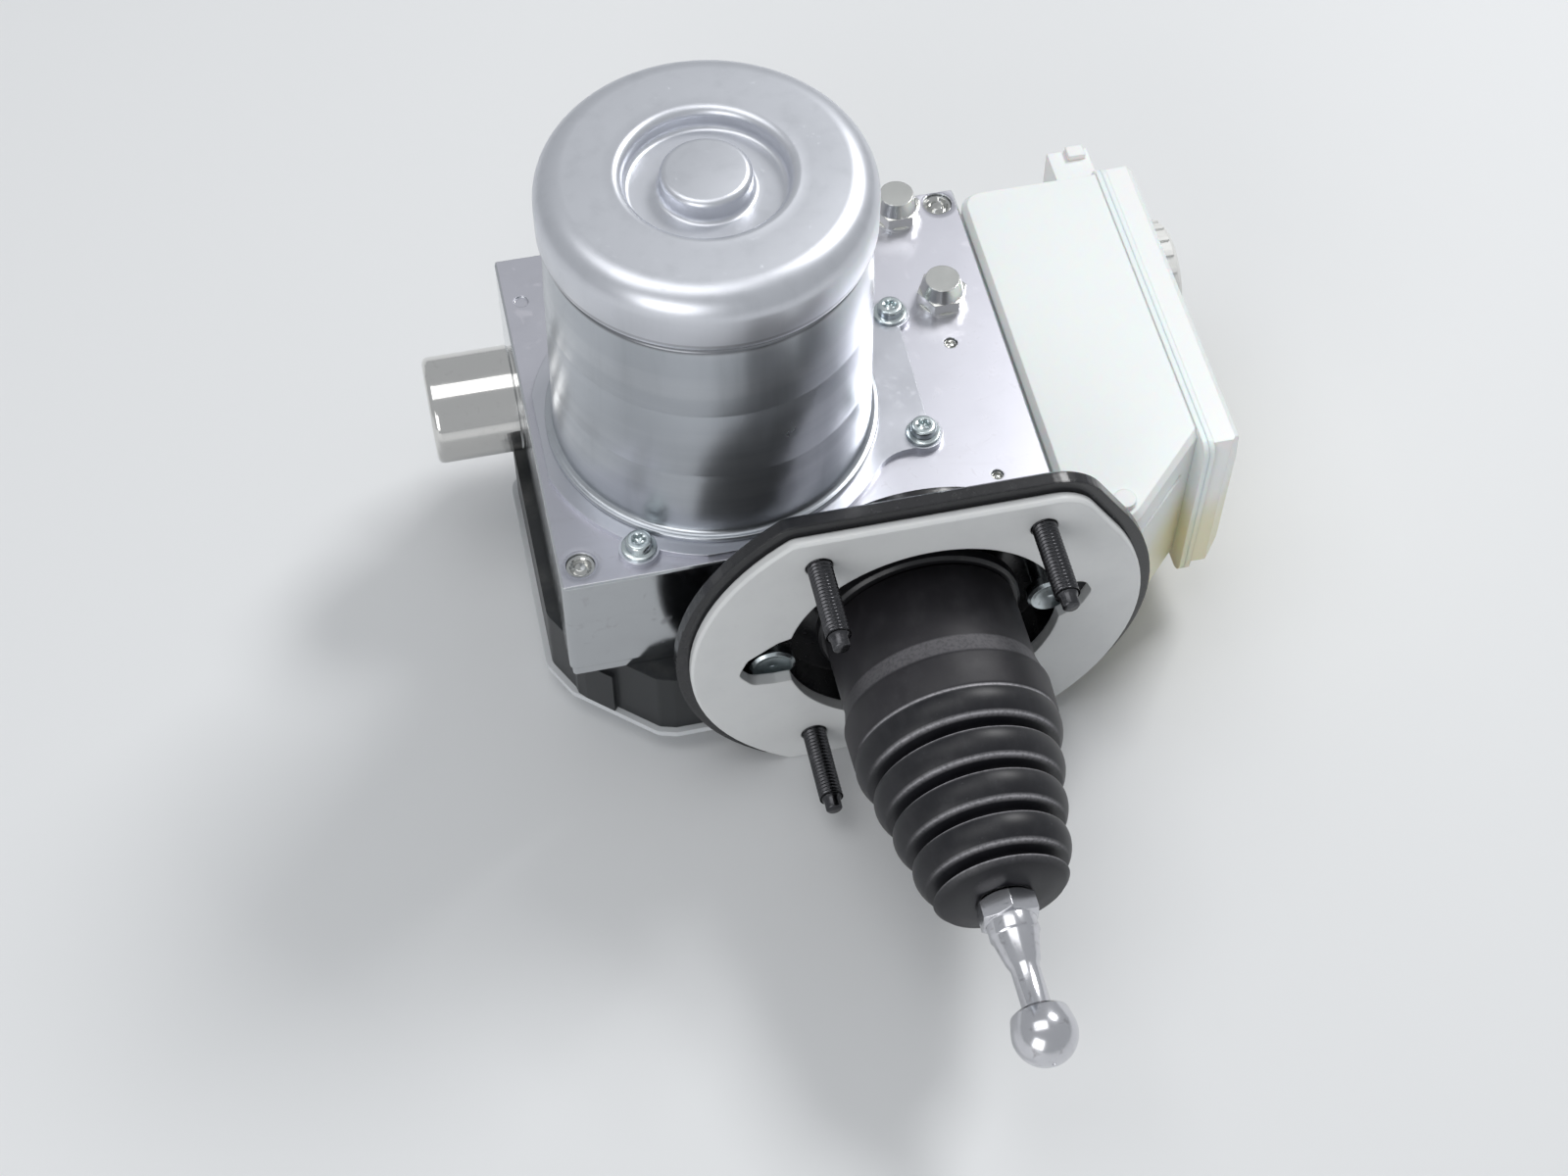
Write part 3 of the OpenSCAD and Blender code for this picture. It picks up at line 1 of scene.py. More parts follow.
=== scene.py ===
"""Looks of an electronic brake booster, dressed over its CAD frame.

The frame holds every solid and how it moves. This script gives each solid its finish, and remakes in
finer mesh the pieces that are seen close up or that change shape: the folded boot, the motor can, the
rod's end, the springs, the studs, the motor screws and the threads in the ports. All sizes are in
metres, in the frame's own axes: -Y to the pedal, +Z along the motor, +X to the tank.
"""

import logging
import math
from abc import ABC, abstractmethod
from dataclasses import dataclass
from enum import Enum
from itertools import product

import bmesh
import bpy
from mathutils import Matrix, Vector

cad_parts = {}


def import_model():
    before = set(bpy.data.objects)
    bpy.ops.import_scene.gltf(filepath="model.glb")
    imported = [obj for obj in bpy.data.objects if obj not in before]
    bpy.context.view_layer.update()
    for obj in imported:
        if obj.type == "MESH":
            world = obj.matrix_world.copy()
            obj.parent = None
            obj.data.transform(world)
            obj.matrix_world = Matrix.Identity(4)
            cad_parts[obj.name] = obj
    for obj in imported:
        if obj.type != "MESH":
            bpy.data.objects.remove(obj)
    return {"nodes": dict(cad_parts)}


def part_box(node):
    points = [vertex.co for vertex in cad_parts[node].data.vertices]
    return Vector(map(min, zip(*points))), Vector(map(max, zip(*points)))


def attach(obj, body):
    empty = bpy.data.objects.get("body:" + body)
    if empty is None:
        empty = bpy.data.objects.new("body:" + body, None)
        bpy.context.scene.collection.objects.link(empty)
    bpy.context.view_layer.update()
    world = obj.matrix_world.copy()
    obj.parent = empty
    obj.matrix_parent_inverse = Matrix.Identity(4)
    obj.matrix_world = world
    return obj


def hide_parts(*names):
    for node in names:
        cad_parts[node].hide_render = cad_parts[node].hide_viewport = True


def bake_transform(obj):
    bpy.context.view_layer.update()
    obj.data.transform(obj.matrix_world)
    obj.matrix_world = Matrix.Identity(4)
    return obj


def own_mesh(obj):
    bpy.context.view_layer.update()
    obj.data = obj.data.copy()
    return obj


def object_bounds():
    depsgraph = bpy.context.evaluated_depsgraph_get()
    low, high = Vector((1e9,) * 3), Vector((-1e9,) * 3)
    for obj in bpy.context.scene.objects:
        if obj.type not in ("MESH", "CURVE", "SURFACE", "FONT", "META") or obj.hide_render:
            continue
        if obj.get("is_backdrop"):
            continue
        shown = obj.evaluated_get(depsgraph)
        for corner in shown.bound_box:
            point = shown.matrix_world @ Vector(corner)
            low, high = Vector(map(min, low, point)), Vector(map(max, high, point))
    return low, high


LOG = logging.getLogger("booster")
MM = 0.001
# Points nearer than this count as one
TOUCHING = 1e-7
# Sockets of the Mix node where it blends colours
MIX_MASK, MIX_FIRST, MIX_SECOND, MIX_RESULT = 0, 6, 7, 2
Colour = tuple[float, float, float]
Place = tuple[float, float, float]
Profile = list[tuple[float, ...]]
Row = list[bmesh.types.BMVert]


class Axis(Enum):
    """An axis of the part, about which points are placed."""

    X = "X"
    Y = "Y"
    Z = "Z"

    def place(self, radius: float, angle: float, along: float) -> Vector:
        """A point at a radius and angle about this axis.

        Args:
            radius: distance from the axis.
            angle: angle about the axis, in radians.
            along: distance along the axis.

        Returns:
            The point, before it is moved to the piece's centre.
        """
        a, b = radius * math.cos(angle), radius * math.sin(angle)
        if self is Axis.X:
            return Vector((along, a, b))
        if self is Axis.Y:
            return Vector((b, along, a))
        return Vector((a, b, along))


class Value:
    """A number in a material's node tree, used like a number in Python."""

    def __init__(self, shader: "Shader", socket: bpy.types.NodeSocket) -> None:
        """Wraps an output socket of the shader's node tree."""
        self.shader = shader
        self.socket = socket

    def _math(self, operation: str, *others: "Value | float", swap: bool = False) -> "Value":
        """Adds one Math node.

        Args:
            operation: the Math node's operation.
            others: the operands after this one.
            swap: whether this value comes second instead of first.

        Returns:
            The result as a value.
        """
        operands = (*others, self) if swap else (self, *others)
        sockets = dict(enumerate(operands))
        return self.shader.value("ShaderNodeMath", {"operation": operation}, sockets)

    def __add__(self, other: "Value | float") -> "Value":
        """This value plus another."""
        return self._math("ADD", other)

    __radd__ = __add__

    def __sub__(self, other: "Value | float") -> "Value":
        """This value less another."""
        return self._math("SUBTRACT", other)

    def __rsub__(self, other: float) -> "Value":
        """A number less this value."""
        return self._math("SUBTRACT", other, swap=True)

    def __mul__(self, other: "Value | float") -> "Value":
        """This value times another."""
        return self._math("MULTIPLY", other)

    __rmul__ = __mul__

    def __pow__(self, other: float) -> "Value":
        """This value to a power."""
        return self._math("POWER", other)

    def __abs__(self) -> "Value":
        """This value without its sign."""
        return self._math("ABSOLUTE")

    def ramp(self, low: float, high: float, start: float = 0.0, end: float = 1.0) -> "Value":
        """Maps a stretch of this value onto another, smoothly and held at its ends.

        Args:
            low: value at which the result is start.
            high: value at which the result is end.
            start: result below low.
            end: result above high.

        Returns:
            The mapped value.
        """
        settings = {"interpolation_type": "SMOOTHSTEP"}
        sockets = {"Value": self, "From Min": low, "From Max": high, "To Min": start, "To Max": end}
        return self.shader.value("ShaderNodeMapRange", settings, sockets)


class Shader:
    """The node tree of one material, with a Principled shader at its end."""

    def __init__(self, name: str) -> None:
        """Starts an empty material of that name."""
        self.material = bpy.data.materials.new(name)
        self.material.use_nodes = True
        self.tree = self.material.node_tree
        self.tree.nodes.clear()
        output = self.node("ShaderNodeOutputMaterial")
        self.principled = self.node("ShaderNodeBsdfPrincipled")
        self.tree.links.new(self.principled.outputs[0], output.inputs["Surface"])

    def node(self, kind: str, settings: dict | None = None, sockets: dict | None = None) -> bpy.types.Node:
        """Adds a node.

        Args:
            kind: the node's type.
            settings: properties to set before the sockets.
            sockets: values or links by socket name or number.

        Returns:
            The new node.
        """
        node = self.tree.nodes.new(kind)
        for key, setting in (settings or {}).items():
            setattr(node, key, setting)
        for key, given in (sockets or {}).items():
            source = given.socket if isinstance(given, Value) else given
            if isinstance(source, bpy.types.NodeSocket):
                self.tree.links.new(source, node.inputs[key])
            else:
                node.inputs[key].default_value = source
        return node

    def value(self, kind: str, settings: dict | None = None, sockets: dict | None = None,
              output: int | str = 0) -> Value:
        """Adds a node and wraps one of its outputs as a value."""
        return Value(self, self.node(kind, settings, sockets).outputs[output])

    def surface(self, **given: object) -> None:
        """Sets the Principled shader's sockets, named with underscores for spaces."""
        for key, source in given.items():
            name = key.replace("_", " ").title().replace("Ior", "IOR")
            source = source.socket if isinstance(source, Value) else source
            if isinstance(source, bpy.types.NodeSocket):
                self.tree.links.new(source, self.principled.inputs[name])
            elif isinstance(source, tuple):
                self.principled.inputs[name].default_value = (*source, 1.0)
            else:
                self.principled.inputs[name].default_value = source

    def coordinates(self, stretch: Place = (1.0, 1.0, 1.0)) -> bpy.types.NodeSocket:
        """Object coordinates in metres, scaled along each axis.

        Args:
            stretch: scale along X, Y and Z.

        Returns:
            The coordinate socket.
        """
        where = self.node("ShaderNodeTexCoord").outputs["Object"]
        return self.node("ShaderNodeMapping", None, {"Vector": where, "Scale": stretch}).outputs[0]

    def place(self, axis: Axis) -> Value:
        """The surface's own coordinate along one axis, in metres."""
        where = self.node("ShaderNodeTexCoord").outputs["Object"]
        return self.value("ShaderNodeSeparateXYZ", None, {0: where}, output=axis.value)

    def facing(self, axis: Axis) -> Value:
        """How far the surface faces along an axis, from -1 to 1."""
        normal = self.node("ShaderNodeNewGeometry").outputs["True Normal"]
        return self.value("ShaderNodeSeparateXYZ", None, {0: normal}, output=axis.value)

    def noise(self, size: float, detail: float = 4.0, roughness: float = 0.55,
              stretch: Place = (1.0, 1.0, 1.0), warp: float = 0.0) -> Value:
        """A noise whose lumps are about a given size.

        Args:
            size: width of a lump, in metres.
            detail: number of finer layers.
            roughness: weight of the finer layers.
            stretch: scale along each axis, below 1 for long lumps.
            warp: distortion of the pattern.

        Returns:
            The noise, about 0 to 1.
        """
        sockets = {"Vector": self.coordinates(stretch), "Scale": 1.0 / size, "Detail": detail,
                   "Roughness": roughness, "Distortion": warp}
        return self.value("ShaderNodeTexNoise", None, sockets)

    def mix(self, mask: Value, first: object, second: object) -> bpy.types.NodeSocket:
        """Blends two colours.

        Args:
            mask: 0 for the first colour, 1 for the second.
            first: colour or colour socket.
            second: colour or colour socket.

        Returns:
            The blended colour's socket.
        """
        ends = [(*c, 1.0) if isinstance(c, tuple) else c for c in (first, second)]
        sockets = {MIX_MASK: mask, MIX_FIRST: ends[0], MIX_SECOND: ends[1]}
        return self.node("ShaderNodeMix", {"data_type": "RGBA"}, sockets).outputs[MIX_RESULT]

    def bump(self, height: Value, depth: float, edge: float = 0.0) -> bpy.types.NodeSocket:
        """A bumped normal, over edges that look slightly rounded.

        Args:
            height: height of the surface, 0 to 1.
            depth: depth that a height of 1 stands for, in metres.
            edge: radius of the rounding on sharp edges, in metres, or 0 for none.

        Returns:
            The normal's socket.
        """
        sockets: dict = {"Height": height, "Distance": depth}
        if edge:
            sockets["Normal"] = self.node("ShaderNodeBevel", {"samples": 4}, {"Radius": edge}).outputs[0]
        return self.node("ShaderNodeBump", None, sockets).outputs[0]

    def around(self, x: float, y: float) -> Value:
        """Distance from an upright line through (x, y), in metres."""
        dx, dy = self.place(Axis.X) - x, self.place(Axis.Y) - y
        return (dx * dx + dy * dy) ** 0.5


@dataclass(frozen=True)
class Finish(ABC):
    """A named material made of shader nodes."""

    name: str

    @abstractmethod
    def paint(self, s: Shader) -> None:
        """Adds the finish's nodes."""

    def build(self) -> bpy.types.Material:
        """Builds the material."""
        shader = Shader(self.name)
        self.paint(shader)
        return shader.material


@dataclass(frozen=True)
class Metal(Finish):
    """A bare or plated metal with fine grain and faint handling marks."""

    colour: Colour
    roughness: float = 0.3
    variation: float = 0.08
    grain: float = 0.6 * MM
    grain_depth: float = 0.004 * MM
    stretch: Place = (1.0, 1.0, 1.0)
    stain: Colour = (0.35, 0.34, 0.33)
    stain_share: float = 0.12
    edge: float = 0.35 * MM

    def paint(self, s: Shader) -> None:
        """Adds the finish's nodes."""
        cloud = s.noise(14 * MM, detail=5)
        marks = s.noise(3 * MM, detail=6, warp=0.6).ramp(0.56, 0.72)
        grain = s.noise(self.grain, detail=3, stretch=self.stretch)
        rough = cloud * self.variation * 2 + (self.roughness - self.variation) + marks * 0.06
        s.surface(
            base_color=s.mix(marks * self.stain_share, self.colour, self.stain),
            metallic=1.0, roughness=rough, normal=s.bump(grain, self.grain_depth, self.edge))


@dataclass(frozen=True)
class Moulding(Finish):
    """A moulded plastic or rubber, with a fine skin and some dust."""

    colour: Colour
    roughness: float = 0.5
    skin: float = 0.5 * MM
    skin_depth: float = 0.01 * MM
    dust: Colour = (0.45, 0.43, 0.40)
    dust_share: float = 0.12
    ior: float = 1.46
    edge: float = 0.5 * MM

    def paint(self, s: Shader) -> None:
        """Adds the finish's nodes."""
        cloud = s.noise(22 * MM, detail=6, roughness=0.6)
        dust = cloud.ramp(0.45, 0.75) * s.facing(Axis.Z).ramp(-0.2, 1.0) * self.dust_share
        skin = s.noise(self.skin, detail=2)
        s.surface(
            base_color=s.mix(dust, self.colour, self.dust),
            roughness=cloud * 0.12 + (self.roughness - 0.06) + dust * 0.5,
            normal=s.bump(skin, self.skin_depth, self.edge), ior=self.ior)


@dataclass(frozen=True)
class Coat(Finish):
    """A sprayed coat on steel, with a faint orange peel and a chalky haze."""

    colour: Colour
    haze: Colour
    roughness: float = 0.35
    clear: float = 0.0
    peel: float = 1.6 * MM
    peel_depth: float = 0.02 * MM
    edge: float = 0.8 * MM

    def paint(self, s: Shader) -> None:
        """Adds the finish's nodes."""
        cloud = s.noise(18 * MM, detail=6, roughness=0.6)
        scuffs = s.noise(2.4 * MM, detail=6, warp=1.2).ramp(0.6, 0.72)
        s.surface(
            base_color=s.mix(cloud.ramp(0.4, 0.75) * 0.35 + scuffs * 0.15, self.colour, self.haze),
            roughness=cloud * 0.1 + (self.roughness - 0.05) + scuffs * 0.15,
            normal=s.bump(s.noise(self.peel, detail=1), self.peel_depth, self.edge),
            coat_weight=self.clear, coat_roughness=0.12)


@dataclass(frozen=True)
class MilledBlock(Finish):
    """The block's aluminium: a satin milled top, and sides cut to a near mirror."""

    name: str = "milled_block"
    colour: Colour = (0.59, 0.59, 0.645)
    side_colour: Colour = (0.64, 0.66, 0.68)
    stain: Colour = (0.44, 0.43, 0.46)
    plugs: tuple[tuple[float, float], ...] = ((-103.7 * MM, 29.7 * MM), (42.0 * MM, 153.6 * MM))
    plug_radius: float = 4.6 * MM

    def paint(self, s: Shader) -> None:
        """Adds the finish's nodes."""
        top = abs(s.facing(Axis.Z)).ramp(0.7, 0.9)
        cloud = s.noise(26 * MM, detail=6, roughness=0.62)
        drops = s.noise(5 * MM, detail=5, warp=0.8).ramp(0.60, 0.69)
        smears = s.noise(11 * MM, detail=6, stretch=(0.35, 1.0, 1.0), warp=1.5).ramp(0.55, 0.75)
        cutter = s.noise(0.7 * MM, detail=3, stretch=(0.08, 1.0, 1.0))
        rings = [s.around(x, y).ramp(self.plug_radius + 2.4 * MM, self.plug_radius + 0.4 * MM)
                 for x, y in self.plugs]
        pressed = (rings[0] + rings[1]) * top
        rough = top * 0.22 + 0.10 + cloud * 0.10 + drops * 0.10 - pressed * 0.12
        marks = drops * 0.30 + cloud.ramp(0.5, 0.8) * 0.16 + smears * 0.12 + pressed * 0.10
        s.surface(
            base_color=s.mix(marks, s.mix(top, self.side_colour, self.colour), self.stain),
            metallic=1.0, roughness=rough,
            normal=s.bump(cutter - pressed * 20, 0.004 * MM, 0.5 * MM))


@dataclass(frozen=True, kw_only=True)
class DrawnCan(Finish):
    """The motor can's steel: satin grey, fine drawing rings, faint upright streaks, a cap painted lighter
    as if lit from above, and painted shade at its seam.
    """

    cap_seam: float
    name: str = "drawn_can"
    colour: Colour = (0.46, 0.485, 0.52)
    # Painted light: the cap above the seam is painted lighter than the body, standing in for the light
    # that falls on the top
    lit_cap_colour: Colour = (0.68, 0.695, 0.74)
    dark: Colour = (0.33, 0.35, 0.375)
    bright: Colour = (0.60, 0.62, 0.65)
    # Painted shade: colour of the dark lines drawn in the crease at the cap's seam
    seam_shade: Colour = (0.12, 0.12, 0.13)
    # Offset from the seam and half width of each painted shade line
    seam_lines: tuple[tuple[float, float], ...] = ((2.6 * MM, 0.8 * MM), (-1.6 * MM, 1.5 * MM))

    def paint(self, s: Shader) -> None:
        """Adds the finish's nodes."""
        rings = s.noise(0.9 * MM, detail=3, stretch=(0.02, 0.02, 1.0))
        bands = s.noise(9 * MM, detail=3, stretch=(0.05, 0.05, 1.0)).ramp(0.4, 0.65)
        streaks = s.noise(7 * MM, detail=5, stretch=(1.0, 1.0, 0.10))
        cloud = s.noise(30 * MM, detail=6, roughness=0.6)
        scratch = s.noise(1.4 * MM, detail=4, stretch=(1.0, 1.0, 0.2), warp=0.5).ramp(0.66, 0.74)
        body = s.place(Axis.Z).ramp(self.cap_seam + 1 * MM, self.cap_seam - 1 * MM)
        # Painted shade lines along the crease at the cap's seam
        lines = [abs(s.place(Axis.Z) - (self.cap_seam + offset)).ramp(half, 0.2 * MM)
                 for offset, half in self.seam_lines]
        seam = lines[0] * 0.5 + lines[1]
        # The cap gets the lighter colour painted for light from above, the body its own colour
        plain = s.mix(body, self.lit_cap_colour, self.colour)
        worn = s.mix(bands * body * 0.35, plain, self.bright)
        dull = (streaks.ramp(0.45, 0.8) * 0.35 + cloud.ramp(0.5, 0.8) * 0.2) * (body * 0.6 + 0.4)
        s.surface(
            base_color=s.mix(seam * 0.7, s.mix(dull, worn, self.dark), self.seam_shade),
            metallic=0.88, roughness=cloud * 0.10 + 0.31 - body * 0.07 + scratch * 0.12,
            normal=s.bump(rings + scratch * 0.6, 0.006 * MM))


@dataclass(frozen=True)
class TankPlastic(Finish):
    """The tank's white plastic, which lets light through and is tinted by the fluid low down."""

    name: str = "tank_plastic"
    colour: Colour = (0.90, 0.91, 0.90)
    tint: Colour = (0.82, 0.76, 0.50)
    tint_top: float = -2 * MM
    tint_fade: float = 24 * MM

    def paint(self, s: Shader) -> None:
        """Adds the finish's nodes."""
        cloud = s.noise(30 * MM, detail=5)
        edge = s.place(Axis.Z) + cloud * self.tint_fade
        low = edge.ramp(self.tint_top + self.tint_fade, self.tint_top - 6 * MM)
        s.surface(
            base_color=s.mix(low * 0.8, self.colour, self.tint), roughness=cloud * 0.12 + 0.3,
            normal=s.bump(s.noise(1.2 * MM, detail=2), 0.012 * MM, 0.8 * MM),
            subsurface_weight=0.35, subsurface_scale=0.004, ior=1.5)


@dataclass(frozen=True, kw_only=True)
class BootRubber(Finish):
    """The boot's black rubber: a fine mould skin, thin grey dust, and painted highlights on its fold edges
    and on the ring below the cuff.
    """

    folds_start: float
    name: str = "boot_rubber"
    colour: Colour = (0.009, 0.009, 0.012)
    cuff: Colour = (0.028, 0.026, 0.030)
    dust: Colour = (0.17, 0.17, 0.18)
    # Colour of the painted highlights on the fold edges and on the ring below the cuff
    painted_highlight: Colour = (0.55, 0.54, 0.57)
    highlight_layer: str = "painted_highlight"

    def paint(self, s: Shader) -> None:
        """Adds the finish's nodes."""
        cloud = s.noise(12 * MM, detail=7, roughness=0.65)
        fine = s.noise(1.1 * MM, detail=5, roughness=0.6)
        streaks = s.noise(5 * MM, detail=5, stretch=(1.0, 0.3, 1.0)).ramp(0.5, 0.72)
        up = s.facing(Axis.Z).ramp(0.0, 1.0)
        cuff = s.place(Axis.Y).ramp(self.folds_start - 0.4 * MM, self.folds_start + 0.4 * MM)
        settings = {"attribute_type": "GEOMETRY", "attribute_name": self.highlight_layer}
        painted_highlight = s.value("ShaderNodeAttribute", settings, output="Fac")
        # Painted highlight: only on the marked edges, stronger where they face up and higher up the boot,
        # as if lit from above
        lit_from_above = s.place(Axis.Z).ramp(4 * MM, 25 * MM, 0.12, 1.0)
        edge = painted_highlight * s.facing(Axis.Z).ramp(-0.1, 0.4) * lit_from_above * fine.ramp(0.3, 0.6, 0.55, 1.0)
        dust = (up * 0.6 + 0.15) * (cloud.ramp(0.42, 0.72) * 0.22 + streaks * 0.12) * (cuff * 0.8 + 0.5)
        base = s.mix(dust + fine.ramp(0.64, 0.74) * 0.12, self.colour, self.dust)
        s.surface(
            base_color=s.mix(edge * 0.85, s.mix(cuff * 0.6, base, self.cuff), self.painted_highlight),
            roughness=cloud * 0.14 + 0.36 + dust * 0.3 + cuff * 0.06, specular_ior_level=0.4,
            normal=s.bump(s.noise(0.35 * MM, detail=3) + cloud * 0.5, 0.016 * MM))


@dataclass(frozen=True)
class LayeredMetal(Finish):
    """Metal in thin layers stacked along the motor, such as wire side by side or electrical sheets."""

    colour: Colour
    gap: Colour
    size: float
    gap_share: float
    gap_depth: float
    metallic: float
    roughness: float
    cloud: float

    def paint(self, s: Shader) -> None:
        """Adds the finish's nodes."""
        sockets = {"Vector": s.coordinates(), "Scale": 1.0 / self.size}
        layers = s.value("ShaderNodeTexWave", {"bands_direction": "Z"}, sockets, output="Fac")
        s.surface(
            base_color=s.mix(layers.ramp(self.gap_share, 0.0), self.colour, self.gap),
            metallic=self.metallic, roughness=s.noise(self.cloud) * 0.2 + self.roughness,
            normal=s.bump(layers, self.gap_depth))


@dataclass(frozen=True)
class BoardLacquer(Finish):
    """A circuit board's lacquer over copper tracks."""

    name: str = "board_lacquer"
    colour: Colour = (0.02, 0.16, 0.07)
    track: Colour = (0.05, 0.28, 0.12)

    def paint(self, s: Shader) -> None:
        """Adds the finish's nodes."""
        sockets = {"Vector": s.coordinates(), "Scale": 1.0 / (5 * MM), "Randomness": 0.25}
        settings = {"distance": "CHEBYCHEV", "feature": "F1"}
        tracks = s.value("ShaderNodeTexVoronoi", settings, sockets, output="Distance").ramp(0.36, 0.4)
        s.surface(
            base_color=s.mix(tracks, self.colour, self.track),
            roughness=s.noise(9 * MM) * 0.1 + 0.25,
            normal=s.bump(tracks, 0.04 * MM), coat_weight=0.3)


class Shape:
    """Collects a piece's faces, and turns them into a smooth-shaded object."""

    star_points: int = 6
    wobble_waves: int = 3
    wobble_twist: float = 90.0

    def __init__(self, name: str) -> None:
        """Starts an empty shape of that name."""
        self.name = name
        self.mesh = bmesh.new()

    def row(self, points: list[Vector]) -> Row:
        """Adds a row of points."""
        return [self.mesh.verts.new(p) for p in points]

    def skin(self, rows: list[Row], capped: bool = False) -> None:
        """Joins closed rows, one after another, with faces. A row of one point is a tip.

        Args:
            rows: the rows in order.
            capped: whether a face closes each end.
        """
        for first, second in zip(rows, rows[1:]):
            count = max(len(first), len(second))
            for i in range(count if count > 1 else 0):
                j = (i + 1) % count
                corners = (first[i % len(first)], first[j % len(first)],
                           second[j % len(second)], second[i % len(second)])
                self.mesh.faces.new(list(dict.fromkeys(corners)))
        if capped:
            self.mesh.faces.new(list(reversed(rows[0])))
            self.mesh.faces.new(rows[-1])

    def turned(self, profile: Profile, axis: Axis, centre: Vector, steps: int = 128,
               wobble: float = 0.0) -> None:
        """Adds a body of revolution, closed where the profile's ends touch the axis.

        Args:
            profile: points of (radius, distance along the axis), with the depth of a star as a
                share of the radius where a third number is given.
            axis: the axis it turns about.
            centre: point that the profile is measured from.
            steps: number of faces round the axis.
            wobble: half of the out-of-round, in metres.
        """
        rows = []
        for radius, along, *star in profile:
            if radius < TOUCHING:
                rows.append(self.row([centre + axis.place(0.0, 0.0, along)]))
                continue
            lobes = star[0] if star else 0.0
            points = []
            for i in range(steps):
                angle = 2 * math.pi * i / steps
                reach = radius * (1 + lobes * math.cos(self.star_points * angle))
                reach += wobble * math.sin(self.wobble_waves * angle + self.wobble_twist * along)
                points.append(centre + axis.place(reach, angle, along))
            rows.append(self.row(points))
        self.skin(rows)
        if profile[0][0] > TOUCHING and profile[-1] == profile[0]:
            bmesh.ops.remove_doubles(self.mesh, verts=self.mesh.verts, dist=TOUCHING)

    def lofted(self, rows: list[tuple[list[float], float]], axis: Axis, centre: Vector) -> None:
        """Adds a closed body through rows of radii, each evenly spaced round the axis.

        Args:
            rows: for each row its radii and its distance along the axis.
            axis: the body's axis.
            centre: point that the distances are measured from.
        """
        rings = []
        for radii, along in rows:
            turn = 2 * math.pi / len(radii)
            rings.append(self.row([centre + axis.place(r, turn * i, along) for i, r in enumerate(radii)]))
        self.skin(rings, capped=True)

    def thread(self, major: float, minor: float, pitch: float, low: float, high: float,
               axis: Axis, centre: Vector, steps: int = 40) -> None:
        """Adds a screw thread as one skin, faded out at both ends.

        Args:
            major: radius at the crests.
            minor: radius at the roots.
            pitch: distance between crests.
            low: start along the axis.
            high: end along the axis.
            axis: the thread's axis.
            centre: point that the distances are measured from.
            steps: number of faces round the axis.
        """
        rows, rows_per_pitch, flank, faded_depth = [], 8, 2.6, 0.25
        count = int((high - low) / pitch * rows_per_pitch)
        for k in range(count + 1):
            along = low + (high - low) * k / count
            fade = min(1.0, (along - low) / pitch, (high - along) / pitch)
            depth = (major - minor) * (faded_depth + (1 - faded_depth) * fade)
            points = []
            for i in range(steps):
                phase = (along / pitch - i / steps) % 1.0
                radius = major - depth * min(1.0, flank * abs(phase - 0.5))
                points.append(centre + axis.place(radius, 2 * math.pi * i / steps, along))
            rows.append(self.row(points))
        self.skin(rows)

    def make(self, finish: Finish | bpy.types.Material, crease: float) -> bpy.types.Object:
        """Makes the object, smooth but for its sharp edges.

        Args:
            finish: its finish, or a material that is made already.
            crease: angle above which an edge stays sharp, in degrees.

        Returns:
            The new object, which rides on nothing yet.
        """
        bmesh.ops.recalc_face_normals(self.mesh, faces=self.mesh.faces)
        data = bpy.data.meshes.new(self.name)
        self.mesh.to_mesh(data)
        self.mesh.free()
        data.materials.append(finish.build() if isinstance(finish, Finish) else finish)
        for face in data.polygons:
            face.use_smooth = True
        data.set_sharp_from_angle(angle=math.radians(crease))
        return add_object(self.name, data)


def add_object(name: str, data: bpy.types.ID) -> bpy.types.Object:
    """Makes an object of that name and data, and adds it to the scene."""
    made = bpy.data.objects.new(name, data)
    bpy.context.scene.collection.objects.link(made)
    return made


def near(radius: float, along: float, *steps: tuple[float, ...]) -> Profile:
    """Points of a profile, each a few millimetres from one of its corners.

    Args:
        radius: the corner's radius.
        along: the corner's place along the axis.
        steps: for each point the millimetres outwards and along, and a star's depth if it has one.

    Returns:
        The points.
    """
    return [(radius + out * MM, along + up * MM, *star) for out, up, *star in steps]


def arc(centre: tuple[float, float], radius: float, start: float, end: float, steps: int = 8) -> Profile:
    """Points of an arc in a profile.

    Args:
        centre: the arc's centre.
        radius: its radius.
        start: first angle in degrees.
        end: last angle in degrees.
        steps: number of stretches.

    Returns:
        The points from start to end.
    """
    angles = [math.radians(start + (end - start) * i / steps) for i in range(steps + 1)]
    return [(centre[0] + radius * math.cos(a), centre[1] + radius * math.sin(a)) for a in angles]


def place(piece: bpy.types.Object, body: str, slot: str, *nodes: str) -> bpy.types.Object:
    """Lets a new piece ride on a body in place of CAD nodes.

    Args:
        piece: the new piece.
        body: the body it moves with.
        slot: name of a material slot; not used.
        nodes: the CAD nodes that it stands for.

    Returns:
        The piece.
    """
    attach(piece, body)
    if nodes:
        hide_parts(*nodes)
    LOG.info("%s rides on %s", piece.name, body)
    return piece


